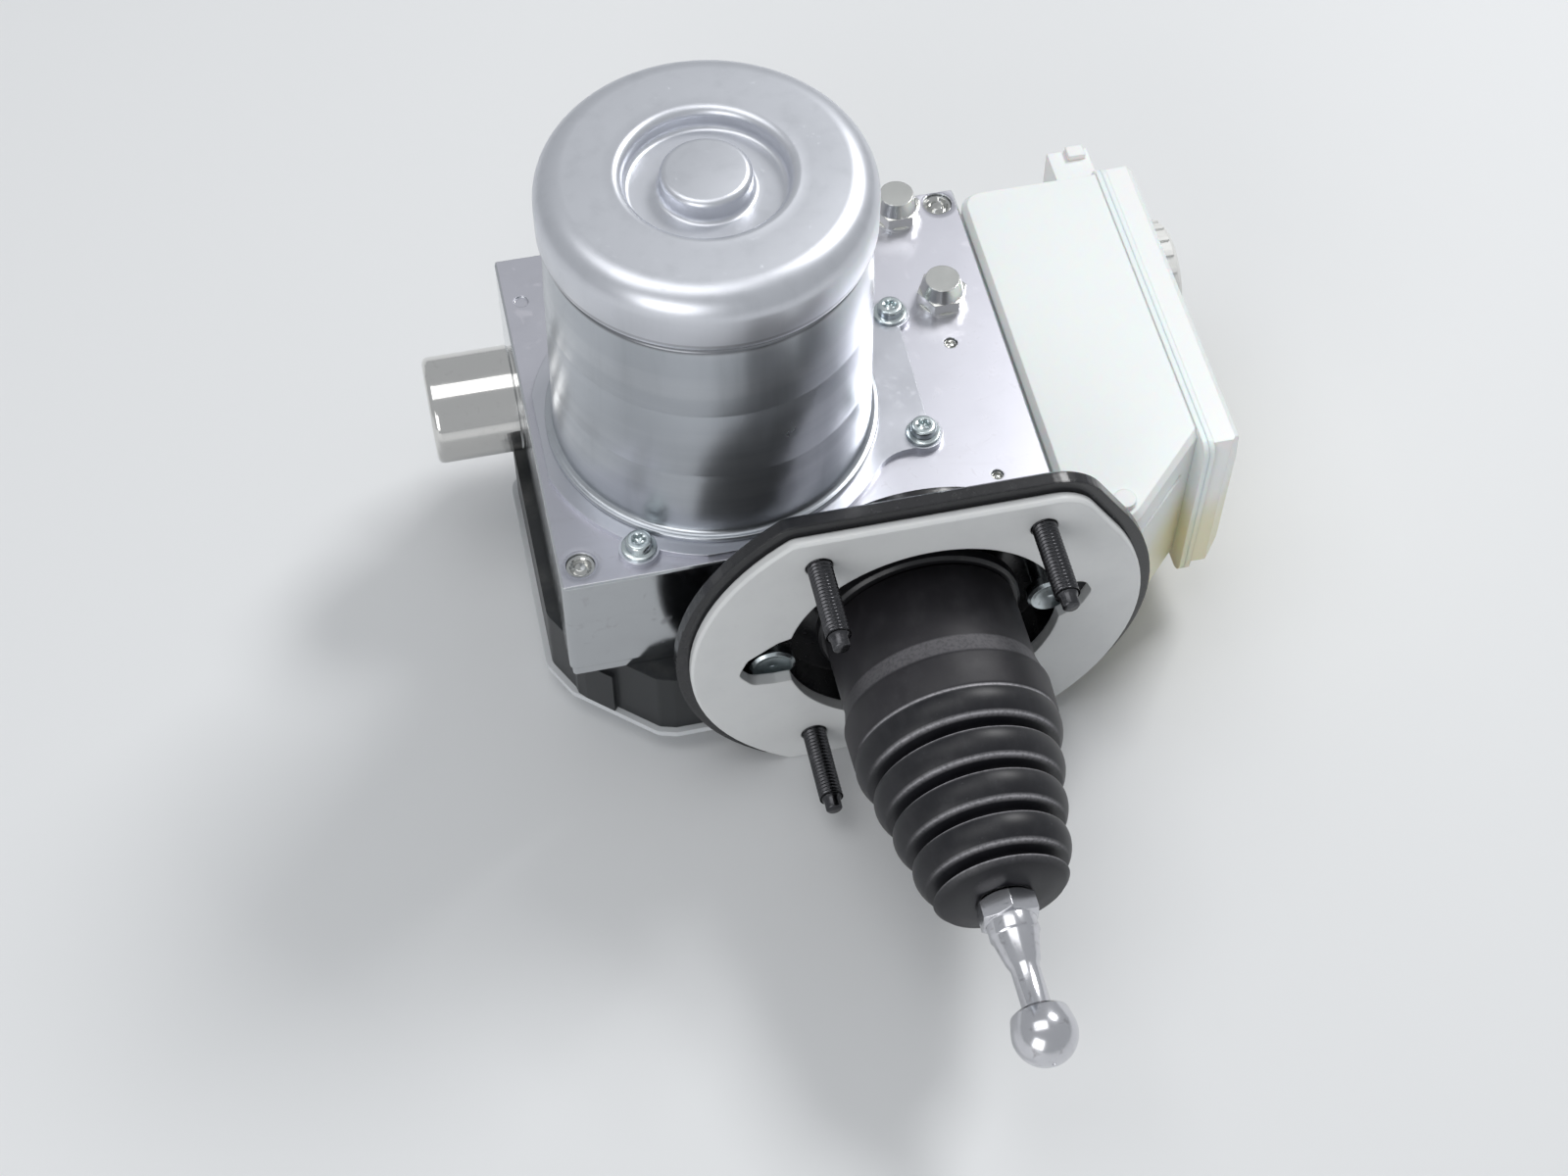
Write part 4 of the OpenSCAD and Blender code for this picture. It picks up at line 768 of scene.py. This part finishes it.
@dataclass
class MotorCan:
    """The deep-drawn can over the motor, with its recessed top and rolled rim."""

    radius: float = 50.6 * MM
    base_radius: float = 51.2 * MM
    neck_radius: float = 49.6 * MM
    rim_radius: float = 53.8 * MM
    rim_thick: float = 1.8 * MM
    rim_round: float = 0.6 * MM
    rim_fillet: float = 1.9 * MM
    wall: float = 1.6 * MM
    cap_height: float = 21 * MM
    neck_round: float = 1 * MM
    shoulder: float = 9 * MM
    recess_radius: float = 25.8 * MM
    recess_round: float = 3 * MM
    recess_depth: float = 7 * MM
    floor_round: float = 2 * MM
    boss_radius: float = 13.6 * MM
    boss_foot: float = 1.8 * MM
    boss_round: float = 2.2 * MM
    boss_proud: float = 0.6 * MM
    bead_places: tuple[float, float] = (0.34, 0.66)

    def profile(self, low: float, top: float) -> Profile:
        """The can's outer profile from the rim to the axis, and back inside.

        Args:
            low: height of the rim's underside.
            top: height of the can's top face.

        Returns:
            Points of (radius, height).
        """
        cap, floor, w = top - self.cap_height, top - self.recess_depth, self.wall
        rim, fillet, foot = self.rim_round, self.rim_fillet, self.boss_foot
        points = near(self.rim_radius, low, (-0.3, 0), (0, 0.3))
        points += arc((self.rim_radius - rim, low + self.rim_thick - rim), rim, 0, 90, 4)
        points += arc((self.base_radius + fillet, low + self.rim_thick + fillet), fillet, 270, 180, 8)
        for share in self.bead_places:
            radius = self.base_radius + (self.neck_radius - self.base_radius) * share
            points += near(radius, low + (cap - low) * share,
                           (0, -1.2), (-0.08, -0.4), (-0.08, 0.4), (0, 1.2))
        points += arc((self.neck_radius + 0.2 * MM, cap - self.neck_round), self.neck_round, 230, 130, 8)
        points += near(self.radius, cap, (-0.5, 0.8), (0, 2.2))
        points += arc((self.radius - self.shoulder, top - self.shoulder), self.shoulder, 0, 90, 20)
        points += near(self.recess_radius, top, (5, 0))
        points += arc((self.recess_radius + 1.6 * MM, top - self.recess_round),
                      self.recess_round, 80, 180, 12)
        points += arc((self.recess_radius - 3.4 * MM, floor + self.floor_round),
                      self.floor_round, 0, -90, 8)
        points += near(self.boss_radius, floor, (3.4, 0))
        points += arc((self.boss_radius + foot, floor + foot), foot, 270, 180, 8)
        points += arc((self.boss_radius - self.boss_round, top + self.boss_proud - self.boss_round),
                      self.boss_round, 0, 90, 8)
        points += [(0.0, top + self.boss_proud)]
        points += near(0.0, top, (0, -1.5)) + near(self.boss_radius - w, top, (0, -1.5))
        points += [(self.boss_radius - w, floor - w)] + near(self.recess_radius, floor - w, (-2, 0))
        points += near(self.recess_radius, top - w, (2.4, -2), (5, 0))
        points += arc((self.radius - self.shoulder, top - self.shoulder), self.shoulder - w, 90, 0, 10)
        points += [(self.neck_radius - w, cap - self.neck_round), (self.base_radius - w, low)]
        return points + [points[0]]

    def build(self) -> None:
        """Builds the can in place of its CAD node."""
        low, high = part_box("motor_can")
        top = high.z - self.boss_proud
        centre = Vector(((low.x + high.x) / 2, (low.y + high.y) / 2, 0.0))
        shape = Shape("motor_can_skin")
        shape.turned(self.profile(low.z, top), Axis.Z, centre, steps=256)
        steel = DrawnCan(cap_seam=top - self.cap_height)
        place(shape.make(steel, crease=40), "housing", "can", "motor_can")


@dataclass
class Boot:
    """The folded dust boot between the bulkhead sleeve and the pedal rod."""

    cuff_radius: float = 31 * MM
    band_radius: float = 33.1 * MM
    first_fold: float = 32.2 * MM
    last_fold: float = 21 * MM
    hole: float = 8 * MM
    wall: float = 2.1 * MM
    folds: int = 5
    pitch: float = 13 * MM
    depth: float = 5 * MM
    back: float = 4.6 * MM
    cuff_end: float = -21.5 * MM
    band: float = -29.4 * MM
    fold_start: float = -41.2 * MM
    end: float = -96.5 * MM
    bend_start: float = -20 * MM
    lobe_share: float = 0.67
    lobe_fullness: float = 0.7
    bulge: float = 1.3 * MM
    groove_lean: float = 1.1
    groove_sharpness: float = 1.2
    # Width of each painted highlight line on the fold edges, and strength of the painted highlight on the
    # ring below the cuff
    highlight_width: float = 0.6 * MM
    ring_highlight: float = 0.22
    out_of_round: float = 0.12 * MM
    # Where along a fold its skin has a ring of points, as shares of its length
    samples: tuple[float, ...] = (
        0.0, 0.015, 0.04, 0.08, 0.15, 0.24, 0.34, 0.44, 0.53, 0.60, 0.64, 0.66, 0.67, 0.68, 0.695, 0.72,
        0.75, 0.79, 0.83, 0.87, 0.91, 0.95, 0.975, 0.99)

    @property
    def last_edge(self) -> float:
        """Where the last fold ends, along the boot's axis."""
        return self.fold_start - self.pitch * (self.folds - 1)

    def rise(self, share: float) -> float:
        """Height of the skin over the taper, at a share of a fold's length."""
        if share < self.lobe_share:
            return self.bulge * math.sin(math.pi * share / self.lobe_share) ** self.lobe_fullness
        t = (share - self.lobe_share) / (1 - self.lobe_share)
        return -self.depth * math.sin(math.pi * t ** self.groove_lean) ** self.groove_sharpness

    def skin(self, shift: float) -> Profile:
        """One side of the boot's wall, from the band to the last fold.

        Args:
            shift: distance inwards from the outer side.

        Returns:
            Points of (radius, y).
        """
        band = self.band_radius - shift
        points = near(self.cuff_radius - shift, self.cuff_end, (0, 0), (0.15, -0.8), (0.4, -2))
        points += near(band, self.band, (-0.7, 1.6), (-0.2, 0.5), (0, -0.4), (-0.1, -5))
        points += near(band, self.fold_start, (-0.3, 1.2), (-0.5, 0.6))
        taper = (self.last_fold - self.first_fold) / (self.folds - 1)
        for i in range(self.folds - 1):
            for share in self.samples:
                radius = self.first_fold + taper * (i + share) + self.rise(share)
                points.append((radius - shift, self.fold_start - self.pitch * (i + share)))
        return points + [(self.last_fold - shift, self.last_edge)]

    def paint_highlights(self, piece: bpy.types.Object, layer: str) -> None:
        """Marks the fold edges and the ring between cuff and band, where highlights are painted.

        Args:
            piece: the boot.
            layer: name of the mark.
        """
        margin = 0.6 * MM
        marks = piece.data.attributes.new(layer, "FLOAT", "POINT")
        for i, vertex in enumerate(piece.data.vertices):
            folds = (self.fold_start - vertex.co.y) / self.pitch
            share = folds % 1.0
            # Painted highlight lines fade out a little way from each fold edge
            gap = min(abs(share - edge) for edge in (0.0, self.lobe_share, 1.0)) * self.pitch
            outside = vertex.co.xz.length > self.last_fold - self.depth
            on_folds = outside and -0.05 < folds < self.folds - 0.9
            marks.data[i].value = max(0.0, 1 - gap / self.highlight_width) if on_folds else 0.0
            # The ring below the cuff gets a weaker painted highlight
            if self.band + margin < vertex.co.y < self.cuff_end - margin:
                marks.data[i].value = self.ring_highlight

    def build(self) -> None:
        """Builds the boot's skin in place of its CAD node."""
        profile = near(self.cuff_radius, self.back, (-0.4, 0), (0, -0.5)) + self.skin(0.0)
        profile += near(self.last_fold, self.last_edge, (-0.3, -0.5), (-1.8, -2))
        profile += near(self.hole, self.end, (4.4, 0.3), (1.4, 0), (0.2, 0), (0, 0.4))
        profile += [(self.hole, self.end + self.wall)]
        profile += near(self.last_fold - self.wall, self.last_edge, (-2, -0.4))
        profile += list(reversed(self.skin(self.wall))) + [(self.cuff_radius - self.wall, self.back)]
        profile.append(profile[0])
        shape = Shape("boot_skin")
        shape.turned(profile, Axis.Y, Vector(), steps=192, wobble=self.out_of_round)
        rubber = BootRubber(folds_start=self.fold_start)
        piece = shape.make(rubber, crease=75)
        # Marks where highlights are painted on the boot
        self.paint_highlights(piece, rubber.highlight_layer)
        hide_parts("dust_boot")
        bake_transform(piece)
        LOG.info("%s bends between housing and input_piston", piece.name)


@dataclass
class PedalEnd:
    """The forged end of the pedal rod: a chamfered hexagon, a collar, a cone, a neck and a ball head."""

    start: float = -97 * MM
    hex_end: float = -104 * MM
    corner: float = 9.7 * MM
    chamfer: float = 0.8 * MM
    collar: float = 7.65 * MM
    collar_end: float = -109 * MM
    neck: float = 4.35 * MM
    neck_start: float = -119 * MM
    head: float = -133.8 * MM
    ball: float = 9.8 * MM
    ball_centre: float = -140.5 * MM
    steps: int = 96

    @property
    def flat(self) -> float:
        """Distance from the axis to a flat of the hexagon."""
        return self.corner * math.cos(math.radians(30))

    def hexagon(self, limit: float) -> list[float]:
        """Radii round a hexagon with a corner on top.

        Args:
            limit: radius that the corners are turned down to.

        Returns:
            The radii, evenly spaced.
        """
        turns = [360 * i / self.steps % 60 - 30 for i in range(self.steps)]
        return [min(limit, self.flat / math.cos(math.radians(turn))) for turn in turns]

    def outline(self) -> Profile:
        """The round part's profile, from the hexagon to the centre mark in the ball's tip."""
        points = near(self.collar, self.hex_end, (0.3, -0.05), (0, -0.3))
        points += near(self.collar, self.collar_end, (0, 0.5), (-0.2, 0.1), (-0.5, -0.2))
        points += near(self.neck, self.neck_start, (0.9, 1.6), (0.3, 0.4), (0, -0.8))
        points += near(self.neck, self.head, (0, 0.6), (0.2, 0.25), (0.6, 0))
        points += near(self.ball, self.head, (-2.1, 0), (-1.2, -0.7), (-1, -1.1))
        points += arc((0.0, self.ball_centre), self.ball, 13, -84, 26)
        return points + near(0.0, self.ball_centre - self.ball, (0.7, 0.15), (0.3, 0.6))

    def build(self) -> None:
        """Builds the rod's end in place of its CAD node."""
        least = self.flat - 0.1 * MM
        grow = self.corner - least
        shares = [i / 6 for i in range(7)]
        rows = [(self.hexagon(least + grow * s), self.start - self.chamfer * s) for s in shares]
        rows += [(self.hexagon(self.corner - grow * s), self.hex_end + self.chamfer * (1 - s))
                 for s in shares]
        rows += [([radius] * self.steps, along) for radius, along in self.outline()]
        shape = Shape("pedal_end")
        shape.lofted(rows, Axis.Y, Vector())
        chrome = Metal("ball_chrome", (0.64, 0.64, 0.67), roughness=0.2, variation=0.07, grain=0.5 * MM,
                       grain_depth=0.007 * MM, stretch=(0.05, 1.0, 0.05), stain=(0.30, 0.29, 0.30),
                       stain_share=0.5)
        place(shape.make(chrome, crease=30), "pedal_rod", "ball_chrome", "ball_end")


@dataclass
class Spring:
    """A helical spring, wound inside its CAD node's box."""

    node: str
    body: str
    joint: str
    axis: Axis
    shortens: float
    anchor_high: bool
    wire: float = 1.1 * MM
    turns: int = 7
    steps: int = 24
    sides: int = 10

    def build(self, steel: bpy.types.Material) -> None:
        """Builds the spring in place of its CAD node.

        Args:
            steel: the wire's material.
        """
        low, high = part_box(self.node)
        along = "XYZ".index(self.axis.value)
        across = (along + 1) % 3
        direction = self.axis.place(0.0, 0.0, 1.0)
        centre = (low + high) / 2
        centre[along] = 0.0
        radius = (high[across] - low[across]) / 2 - self.wire
        start, end = low[along] + self.wire, high[along] - self.wire
        round_wire = [2 * math.pi * i / self.sides for i in range(self.sides)]
        shape, rows, count = Shape(self.node + "_wire"), [], self.turns * self.steps
        for k in range(count + 1):
            angle = 2 * math.pi * k / self.steps
            hub = centre + self.axis.place(radius, angle, start + (end - start) * k / count)
            out = self.axis.place(1.0, angle, 0.0)
            rows.append(shape.row([
                hub + self.wire * (out * math.cos(t) + direction * math.sin(t)) for t in round_wire]))
        shape.skin(rows, capped=True)
        piece = place(shape.make(steel, crease=60), self.body, "spring_steel", self.node)
        anchor = centre + direction * (high[along] if self.anchor_high else low[along])
        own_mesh(piece)


SPRINGS = (
    Spring("primary_spring", "floating_piston", "pedal_stroke", Axis.Y, 14.4 * MM, True),
    Spring("secondary_spring", "housing", "floating_slide", Axis.Y, 21.8 * MM, True, turns=8),
    Spring("simulator_spring", "housing", "simulator_slide", Axis.X, 20.1 * MM, False, 1.4 * MM, turns=8),
)


@dataclass
class Studs:
    """The four threaded studs that hold the unit to the bulkhead."""

    radius: float = 4 * MM
    neck: float = 4.2 * MM
    root: float = 3.4 * MM
    pitch: float = 1.25 * MM
    out: float = 30 * MM
    tip: float = 4 * MM
    spread: tuple[float, float] = (35 * MM, 47.5 * MM)
    thread_end: float = 0.2 * MM
    head_radius: float = 6.5 * MM
    head_thick: float = 2.4 * MM
    weld: float = 0.001 * MM

    def build(self) -> None:
        """Builds the studs with true threads and dog points."""
        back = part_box("mounting_studs")[1].y
        start, nose = -self.out + self.tip + 0.4 * MM, self.root - 0.7 * MM
        point = [(0.0, -self.out)] + near(nose, -self.out, (-0.4, 0), (0, 0.4))
        point += [(nose, start - 1.2 * MM), (self.root, start)]
        shank = [(self.root, self.thread_end), (self.neck, 0.8 * MM), (self.neck, back - self.head_thick),
                 (self.head_radius, back - self.head_thick), (self.head_radius, back), (0.0, back)]
        shape = Shape("stud_threads")
        for x, z in product((-self.spread[0], self.spread[0]), (-self.spread[1], self.spread[1])):
            centre = Vector((x, 0.0, z))
            shape.turned(point, Axis.Y, centre, steps=40)
            shape.thread(self.radius, self.root, self.pitch, start, self.thread_end, Axis.Y, centre)
            shape.turned(shank, Axis.Y, centre, steps=40)
        bmesh.ops.remove_doubles(shape.mesh, verts=shape.mesh.verts, dist=self.weld)
        black = Metal("stud_black", (0.075, 0.075, 0.08), roughness=0.26, variation=0.04,
                      grain_depth=0.0005 * MM, stain=(0.35, 0.35, 0.37), stain_share=0.15, edge=0.0)
        place(shape.make(black, crease=50), "housing", "black_steel", "mounting_studs")


@dataclass
class MotorScrews:
    """The four washer-head screws with star recesses that hold the motor to the block."""

    spots: tuple[tuple[float, float], ...] = (
        (-84.9 * MM, 30.9 * MM), (12.2 * MM, 56.1 * MM), (13.7 * MM, 107.1 * MM), (-84.9 * MM, 130.3 * MM))
    washer: float = 5.6 * MM
    washer_round: float = 0.4 * MM
    head: float = 4.2 * MM
    head_round: float = 1.1 * MM
    shank: float = 2.5 * MM
    height: float = 4.3 * MM
    recess: float = 1.9 * MM
    recess_depth: float = 1.9 * MM

    def profile(self, low: float, seat: float) -> Profile:
        """The screw's outline from its tip to the bottom of its recess.

        Args:
            low: height of the tip.
            seat: height of the washer's underside.

        Returns:
            Points of (radius, height, star).
        """
        top = seat + self.height
        floor = top - self.recess_depth
        points = [(0.0, low)] + near(self.shank, low, (-0.5, 0), (0, 0.6))
        points += [(self.shank, seat)] + near(self.washer, seat, (-0.15, 0))
        points += arc((self.washer - self.washer_round, seat + 0.5 * MM), self.washer_round, -45, 90, 5)
        points += near(self.head, seat, (0.5, 1.1), (0.1, 1.4), (0, 1.9))
        points += arc((self.head - self.head_round, top - self.head_round), self.head_round, 10, 80, 5)
        points += near(self.recess, top, (0.9, 0), (0.35, 0, 0.06), (0, -0.25, 0.15))
        return points + [(self.recess * 0.94, floor, 0.15), (self.recess * 0.5, floor - 0.3 * MM, 0.05),
                         (0.0, floor - 0.4 * MM)]

    def build(self) -> None:
        """Builds the screws in place of their CAD node."""
        low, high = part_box("motor_screws")
        shape = Shape("motor_screw_heads")
        for x, y in self.spots:
            shape.turned(self.profile(low.z, high.z - self.height), Axis.Z, Vector((x, y, 0.0)), steps=60)
        zinc = Metal("screw_zinc", (0.62, 0.68, 0.69), roughness=0.24, stain_share=0.3, edge=0.0)
        place(shape.make(zinc, crease=38), "housing", "zinc", "motor_screws")


@dataclass
class PortThreads:
    """The threads inside the four brake line ports."""

    inset: float = 18.8 * MM
    spacing: float = 26 * MM
    count: int = 4
    height: float = 6 * MM
    radius: float = 4.95 * MM
    tooth: float = 0.5 * MM
    pitch: float = 1 * MM
    depth: float = 12 * MM
    mouth: float = 0.4 * MM

    def build(self) -> None:
        """Builds the four threaded bores' skins, in the back of the block."""
        low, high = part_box("hydraulic_block")
        shape = Shape("port_threads")
        for i in range(self.count):
            centre = Vector((low.x + self.inset + self.spacing * i, 0.0, self.height))
            shape.thread(self.radius, self.radius - self.tooth, self.pitch, high.y - self.depth,
                         high.y - self.mouth, Axis.Y, centre)
        cut = Metal("cut_thread", (0.66, 0.67, 0.70), roughness=0.2, edge=0.0)
        place(shape.make(cut, crease=50), "housing", "block")


# Each finish and the CAD nodes that get it
NODE_FINISHES: dict[Finish, list[str]] = {
    MilledBlock(): ["hydraulic_block"],
    Metal("pressed_plug", (0.60, 0.60, 0.58), roughness=0.14): ["bore_plugs"],
    Metal("hex_plug_steel", (0.80, 0.80, 0.77), roughness=0.2, edge=0.5 * MM): ["hex_plugs"],
    Coat("black_coat", (0.006, 0.006, 0.008), (0.024, 0.024, 0.027), roughness=0.24, clear=0.3,
         edge=1.2 * MM): ["mounting_bracket"],
    Coat("plate_coat", (0.74, 0.75, 0.75), (0.64, 0.65, 0.66), roughness=0.4): ["mounting_plate"],
    Metal("blue_zinc", (0.64, 0.70, 0.72), roughness=0.24, stain_share=0.35): ["bracket_bolts"],
    Moulding("sleeve_plastic", (0.016, 0.016, 0.018), roughness=0.3): ["input_sleeve"],
    Metal("ground_steel", (0.66, 0.67, 0.69), roughness=0.24): ["push_rod", "rotor_shaft"],
    Metal("anodised", (0.52, 0.50, 0.42), roughness=0.35): [
        "primary_piston", "secondary_piston", "simulator_piston", "pressure_plunger"],
    Metal("retainer_steel", (0.42, 0.42, 0.44), roughness=0.3): ["rod_retainer"],
    Moulding("seal_rubber", (0.02, 0.02, 0.022), roughness=0.6): [
        "piston_seals", "simulator_seals", "plunger_seal", "cap_gasket", "reservoir_grommets"],
    Metal("flange_sheet", (0.63, 0.64, 0.69), roughness=0.3, variation=0.05, stain_share=0.06): [
        "motor_flange"],
    LayeredMetal("laminations", (0.42, 0.44, 0.47), (0.16, 0.16, 0.17), 3.2 * MM, gap_share=0.25,
                 gap_depth=0.05 * MM, metallic=0.8, roughness=0.35, cloud=4 * MM): ["stator_core"],
    LayeredMetal("windings", (0.60, 0.26, 0.10), (0.30, 0.10, 0.04), 4.4 * MM, gap_share=0.4,
                 gap_depth=0.15 * MM, metallic=0.9, roughness=0.2, cloud=2 * MM): ["stator_windings"],
    Metal("copper_bar", (0.70, 0.36, 0.18), roughness=0.3): ["motor_terminals"],
    Metal("coated_magnet", (0.20, 0.20, 0.22), roughness=0.4): ["rotor_magnets"],
    Metal("hardened_steel", (0.45, 0.46, 0.48), roughness=0.22): [
        "ball_nut", "screw_spindle", "valve_cartridges", "pressure_sensor"],
    Metal("bearing_steel", (0.68, 0.69, 0.71), roughness=0.14): ["upper_bearing", "lower_bearing"],
    Metal("turned_chrome", (0.72, 0.71, 0.69), roughness=0.1, stretch=(1.0, 0.05, 0.05),
          grain_depth=0.006 * MM): ["simulator_housing"],
    TankPlastic(): ["reservoir_lower_shell", "reservoir_upper_shell"],
    Moulding("cap_plastic", (0.80, 0.80, 0.78), roughness=0.4, dust_share=0.2): ["filler_cap"],
    Moulding("float_foam", (0.70, 0.28, 0.07), roughness=0.7, skin_depth=0.06 * MM): ["level_float"],
    Metal("tinned_pin", (0.78, 0.70, 0.45), roughness=0.2): ["level_sensor_pins", "connector_pins"],
    Moulding("unit_plastic", (0.018, 0.020, 0.022), roughness=0.4, skin_depth=0.03 * MM): ["ecu_housing"],
    Coat("cover_sheet", (0.66, 0.68, 0.70), (0.78, 0.79, 0.80), roughness=0.38, edge=0.4 * MM): [
        "ecu_cover"],
    Metal("plated_screw", (0.66, 0.67, 0.70), roughness=0.24): ["ecu_cover_screws", "ecu_block_screws"],
    BoardLacquer(): ["circuit_board"],
    Moulding("coil_resin", (0.28, 0.13, 0.05), roughness=0.4): ["valve_coils"],
}


def dress_nodes(nodes: dict[str, bpy.types.Object]) -> None:
    """Gives the CAD nodes that stay their finishes.

    Args:
        nodes: the frame's nodes by name.
    """
    for finish, names in NODE_FINISHES.items():
        material = finish.build()
        for name in names:
            data = nodes[name].data
            data.materials.clear()
            data.materials.append(material)
            for face in data.polygons:
                face.material_index = 0
        LOG.info("%s on %s", material.name, ", ".join(names))


@dataclass
class Studio:
    """The camera, the floor and the soft light."""

    eye: Place = (-0.1446, -0.4275, 0.6747)
    # The camera's turns about X, Y and Z, in degrees
    turns: Place = (34.6426, -0.4028, -12.4276)
    lens: float = 58.71
    sensor: float = 36.0
    aim: Place = (-0.03, 0.05, 0.03)
    floor_half: float = 3.0
    floor_colour: Colour = (0.80, 0.81, 0.82)
    world_colour: Colour = (0.84, 0.87, 0.90)
    world_light: float = 0.38
    world_seen: float = 0.55

    def camera(self) -> None:
        """Adds the camera at the photograph's viewing angle."""
        data = bpy.data.cameras.new("camera")
        data.lens = self.lens
        data.sensor_width = self.sensor
        data.clip_start = 0.01
        camera = add_object("camera", data)
        camera.location = self.eye
        camera.rotation_euler = [math.radians(turn) for turn in self.turns]
        bpy.context.scene.camera = camera

    def floor(self, height: float) -> None:
        """Adds the floor under the lowest point.

        Args:
            height: the floor's height.
        """
        half = self.floor_half
        data = bpy.data.meshes.new("floor")
        corners = [(x, y, height) for x, y in ((-half, -half), (half, -half), (half, half), (-half, half))]
        data.from_pydata(corners, [], [(0, 1, 2, 3)])
        s = Shader("floor_paint")
        s.surface(base_color=self.floor_colour, roughness=0.7)
        data.materials.append(s.material)
        add_object("floor", data)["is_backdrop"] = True

    def lamp(self, name: str, spot: Place, size: tuple[float, float], power: float) -> None:
        """Adds a soft rectangular lamp that points at the object.

        Args:
            name: the lamp's name.
            spot: where it hangs.
            size: its width and height.
            power: its power in watts.
        """
        data = bpy.data.lights.new(name, "AREA")
        data.shape = "RECTANGLE"
        data.size, data.size_y = size
        data.energy = power
        lamp = add_object(name, data)
        lamp.location = spot
        lamp.rotation_euler = (Vector(self.aim) - Vector(spot)).to_track_quat("-Z", "Y").to_euler()

    def light(self) -> None:
        """Sets the world, whose light is softer than the brightness that shows, and the lamps."""
        world = bpy.data.worlds.new("studio")
        bpy.context.scene.world = world
        world.use_nodes = True
        tree = world.node_tree
        light, seen = tree.nodes["Background"], tree.nodes.new("ShaderNodeBackground")
        for background, strength in ((light, self.world_light), (seen, self.world_seen)):
            background.inputs["Color"].default_value = (*self.world_colour, 1.0)
            background.inputs["Strength"].default_value = strength
        rays = tree.nodes.new("ShaderNodeLightPath")
        shows = rays.outputs["Is Camera Ray"]
        for kind in ("Is Glossy Ray", "Is Transmission Ray"):
            either = tree.nodes.new("ShaderNodeMath")
            either.operation = "MAXIMUM"
            tree.links.new(shows, either.inputs[0])
            tree.links.new(rays.outputs[kind], either.inputs[1])
            shows = either.outputs[0]
        mix = tree.nodes.new("ShaderNodeMixShader")
        for number, output in enumerate((shows, light.outputs[0], seen.outputs[0])):
            tree.links.new(output, mix.inputs[number])
        tree.links.new(mix.outputs[0], tree.nodes["World Output"].inputs["Surface"])
        self.lamp("window", (0.9, 0.75, 1.35), (0.55, 0.45), 15)
        self.lamp("ceiling", (-0.5, 0.1, 1.7), (0.9, 1.4), 7)
        self.lamp("bounce", (-0.9, -1.2, 0.6), (0.9, 0.9), 7)

    def build(self) -> None:
        """Sets the stage."""
        bpy.context.scene.view_settings.view_transform = "Standard"
        self.camera()
        self.floor(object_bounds()[0][2])
        self.light()


def main(frame: dict) -> None:
    """Dresses the whole unit.
    """
    logging.basicConfig(level=logging.INFO, format="%(message)s")
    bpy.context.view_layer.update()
    Studio().build()
    dress_nodes(frame["nodes"])
    for part in (MotorCan(), Boot(), PedalEnd()):
        part.build()
    wire = Metal("spring_wire", (0.42, 0.42, 0.44), roughness=0.3, edge=0.0).build()
    for spring in SPRINGS:
        spring.build(wire)
    for part in (Studs(), MotorScrews(), PortThreads()):
        part.build()


if __name__ == "__main__":
    main(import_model())
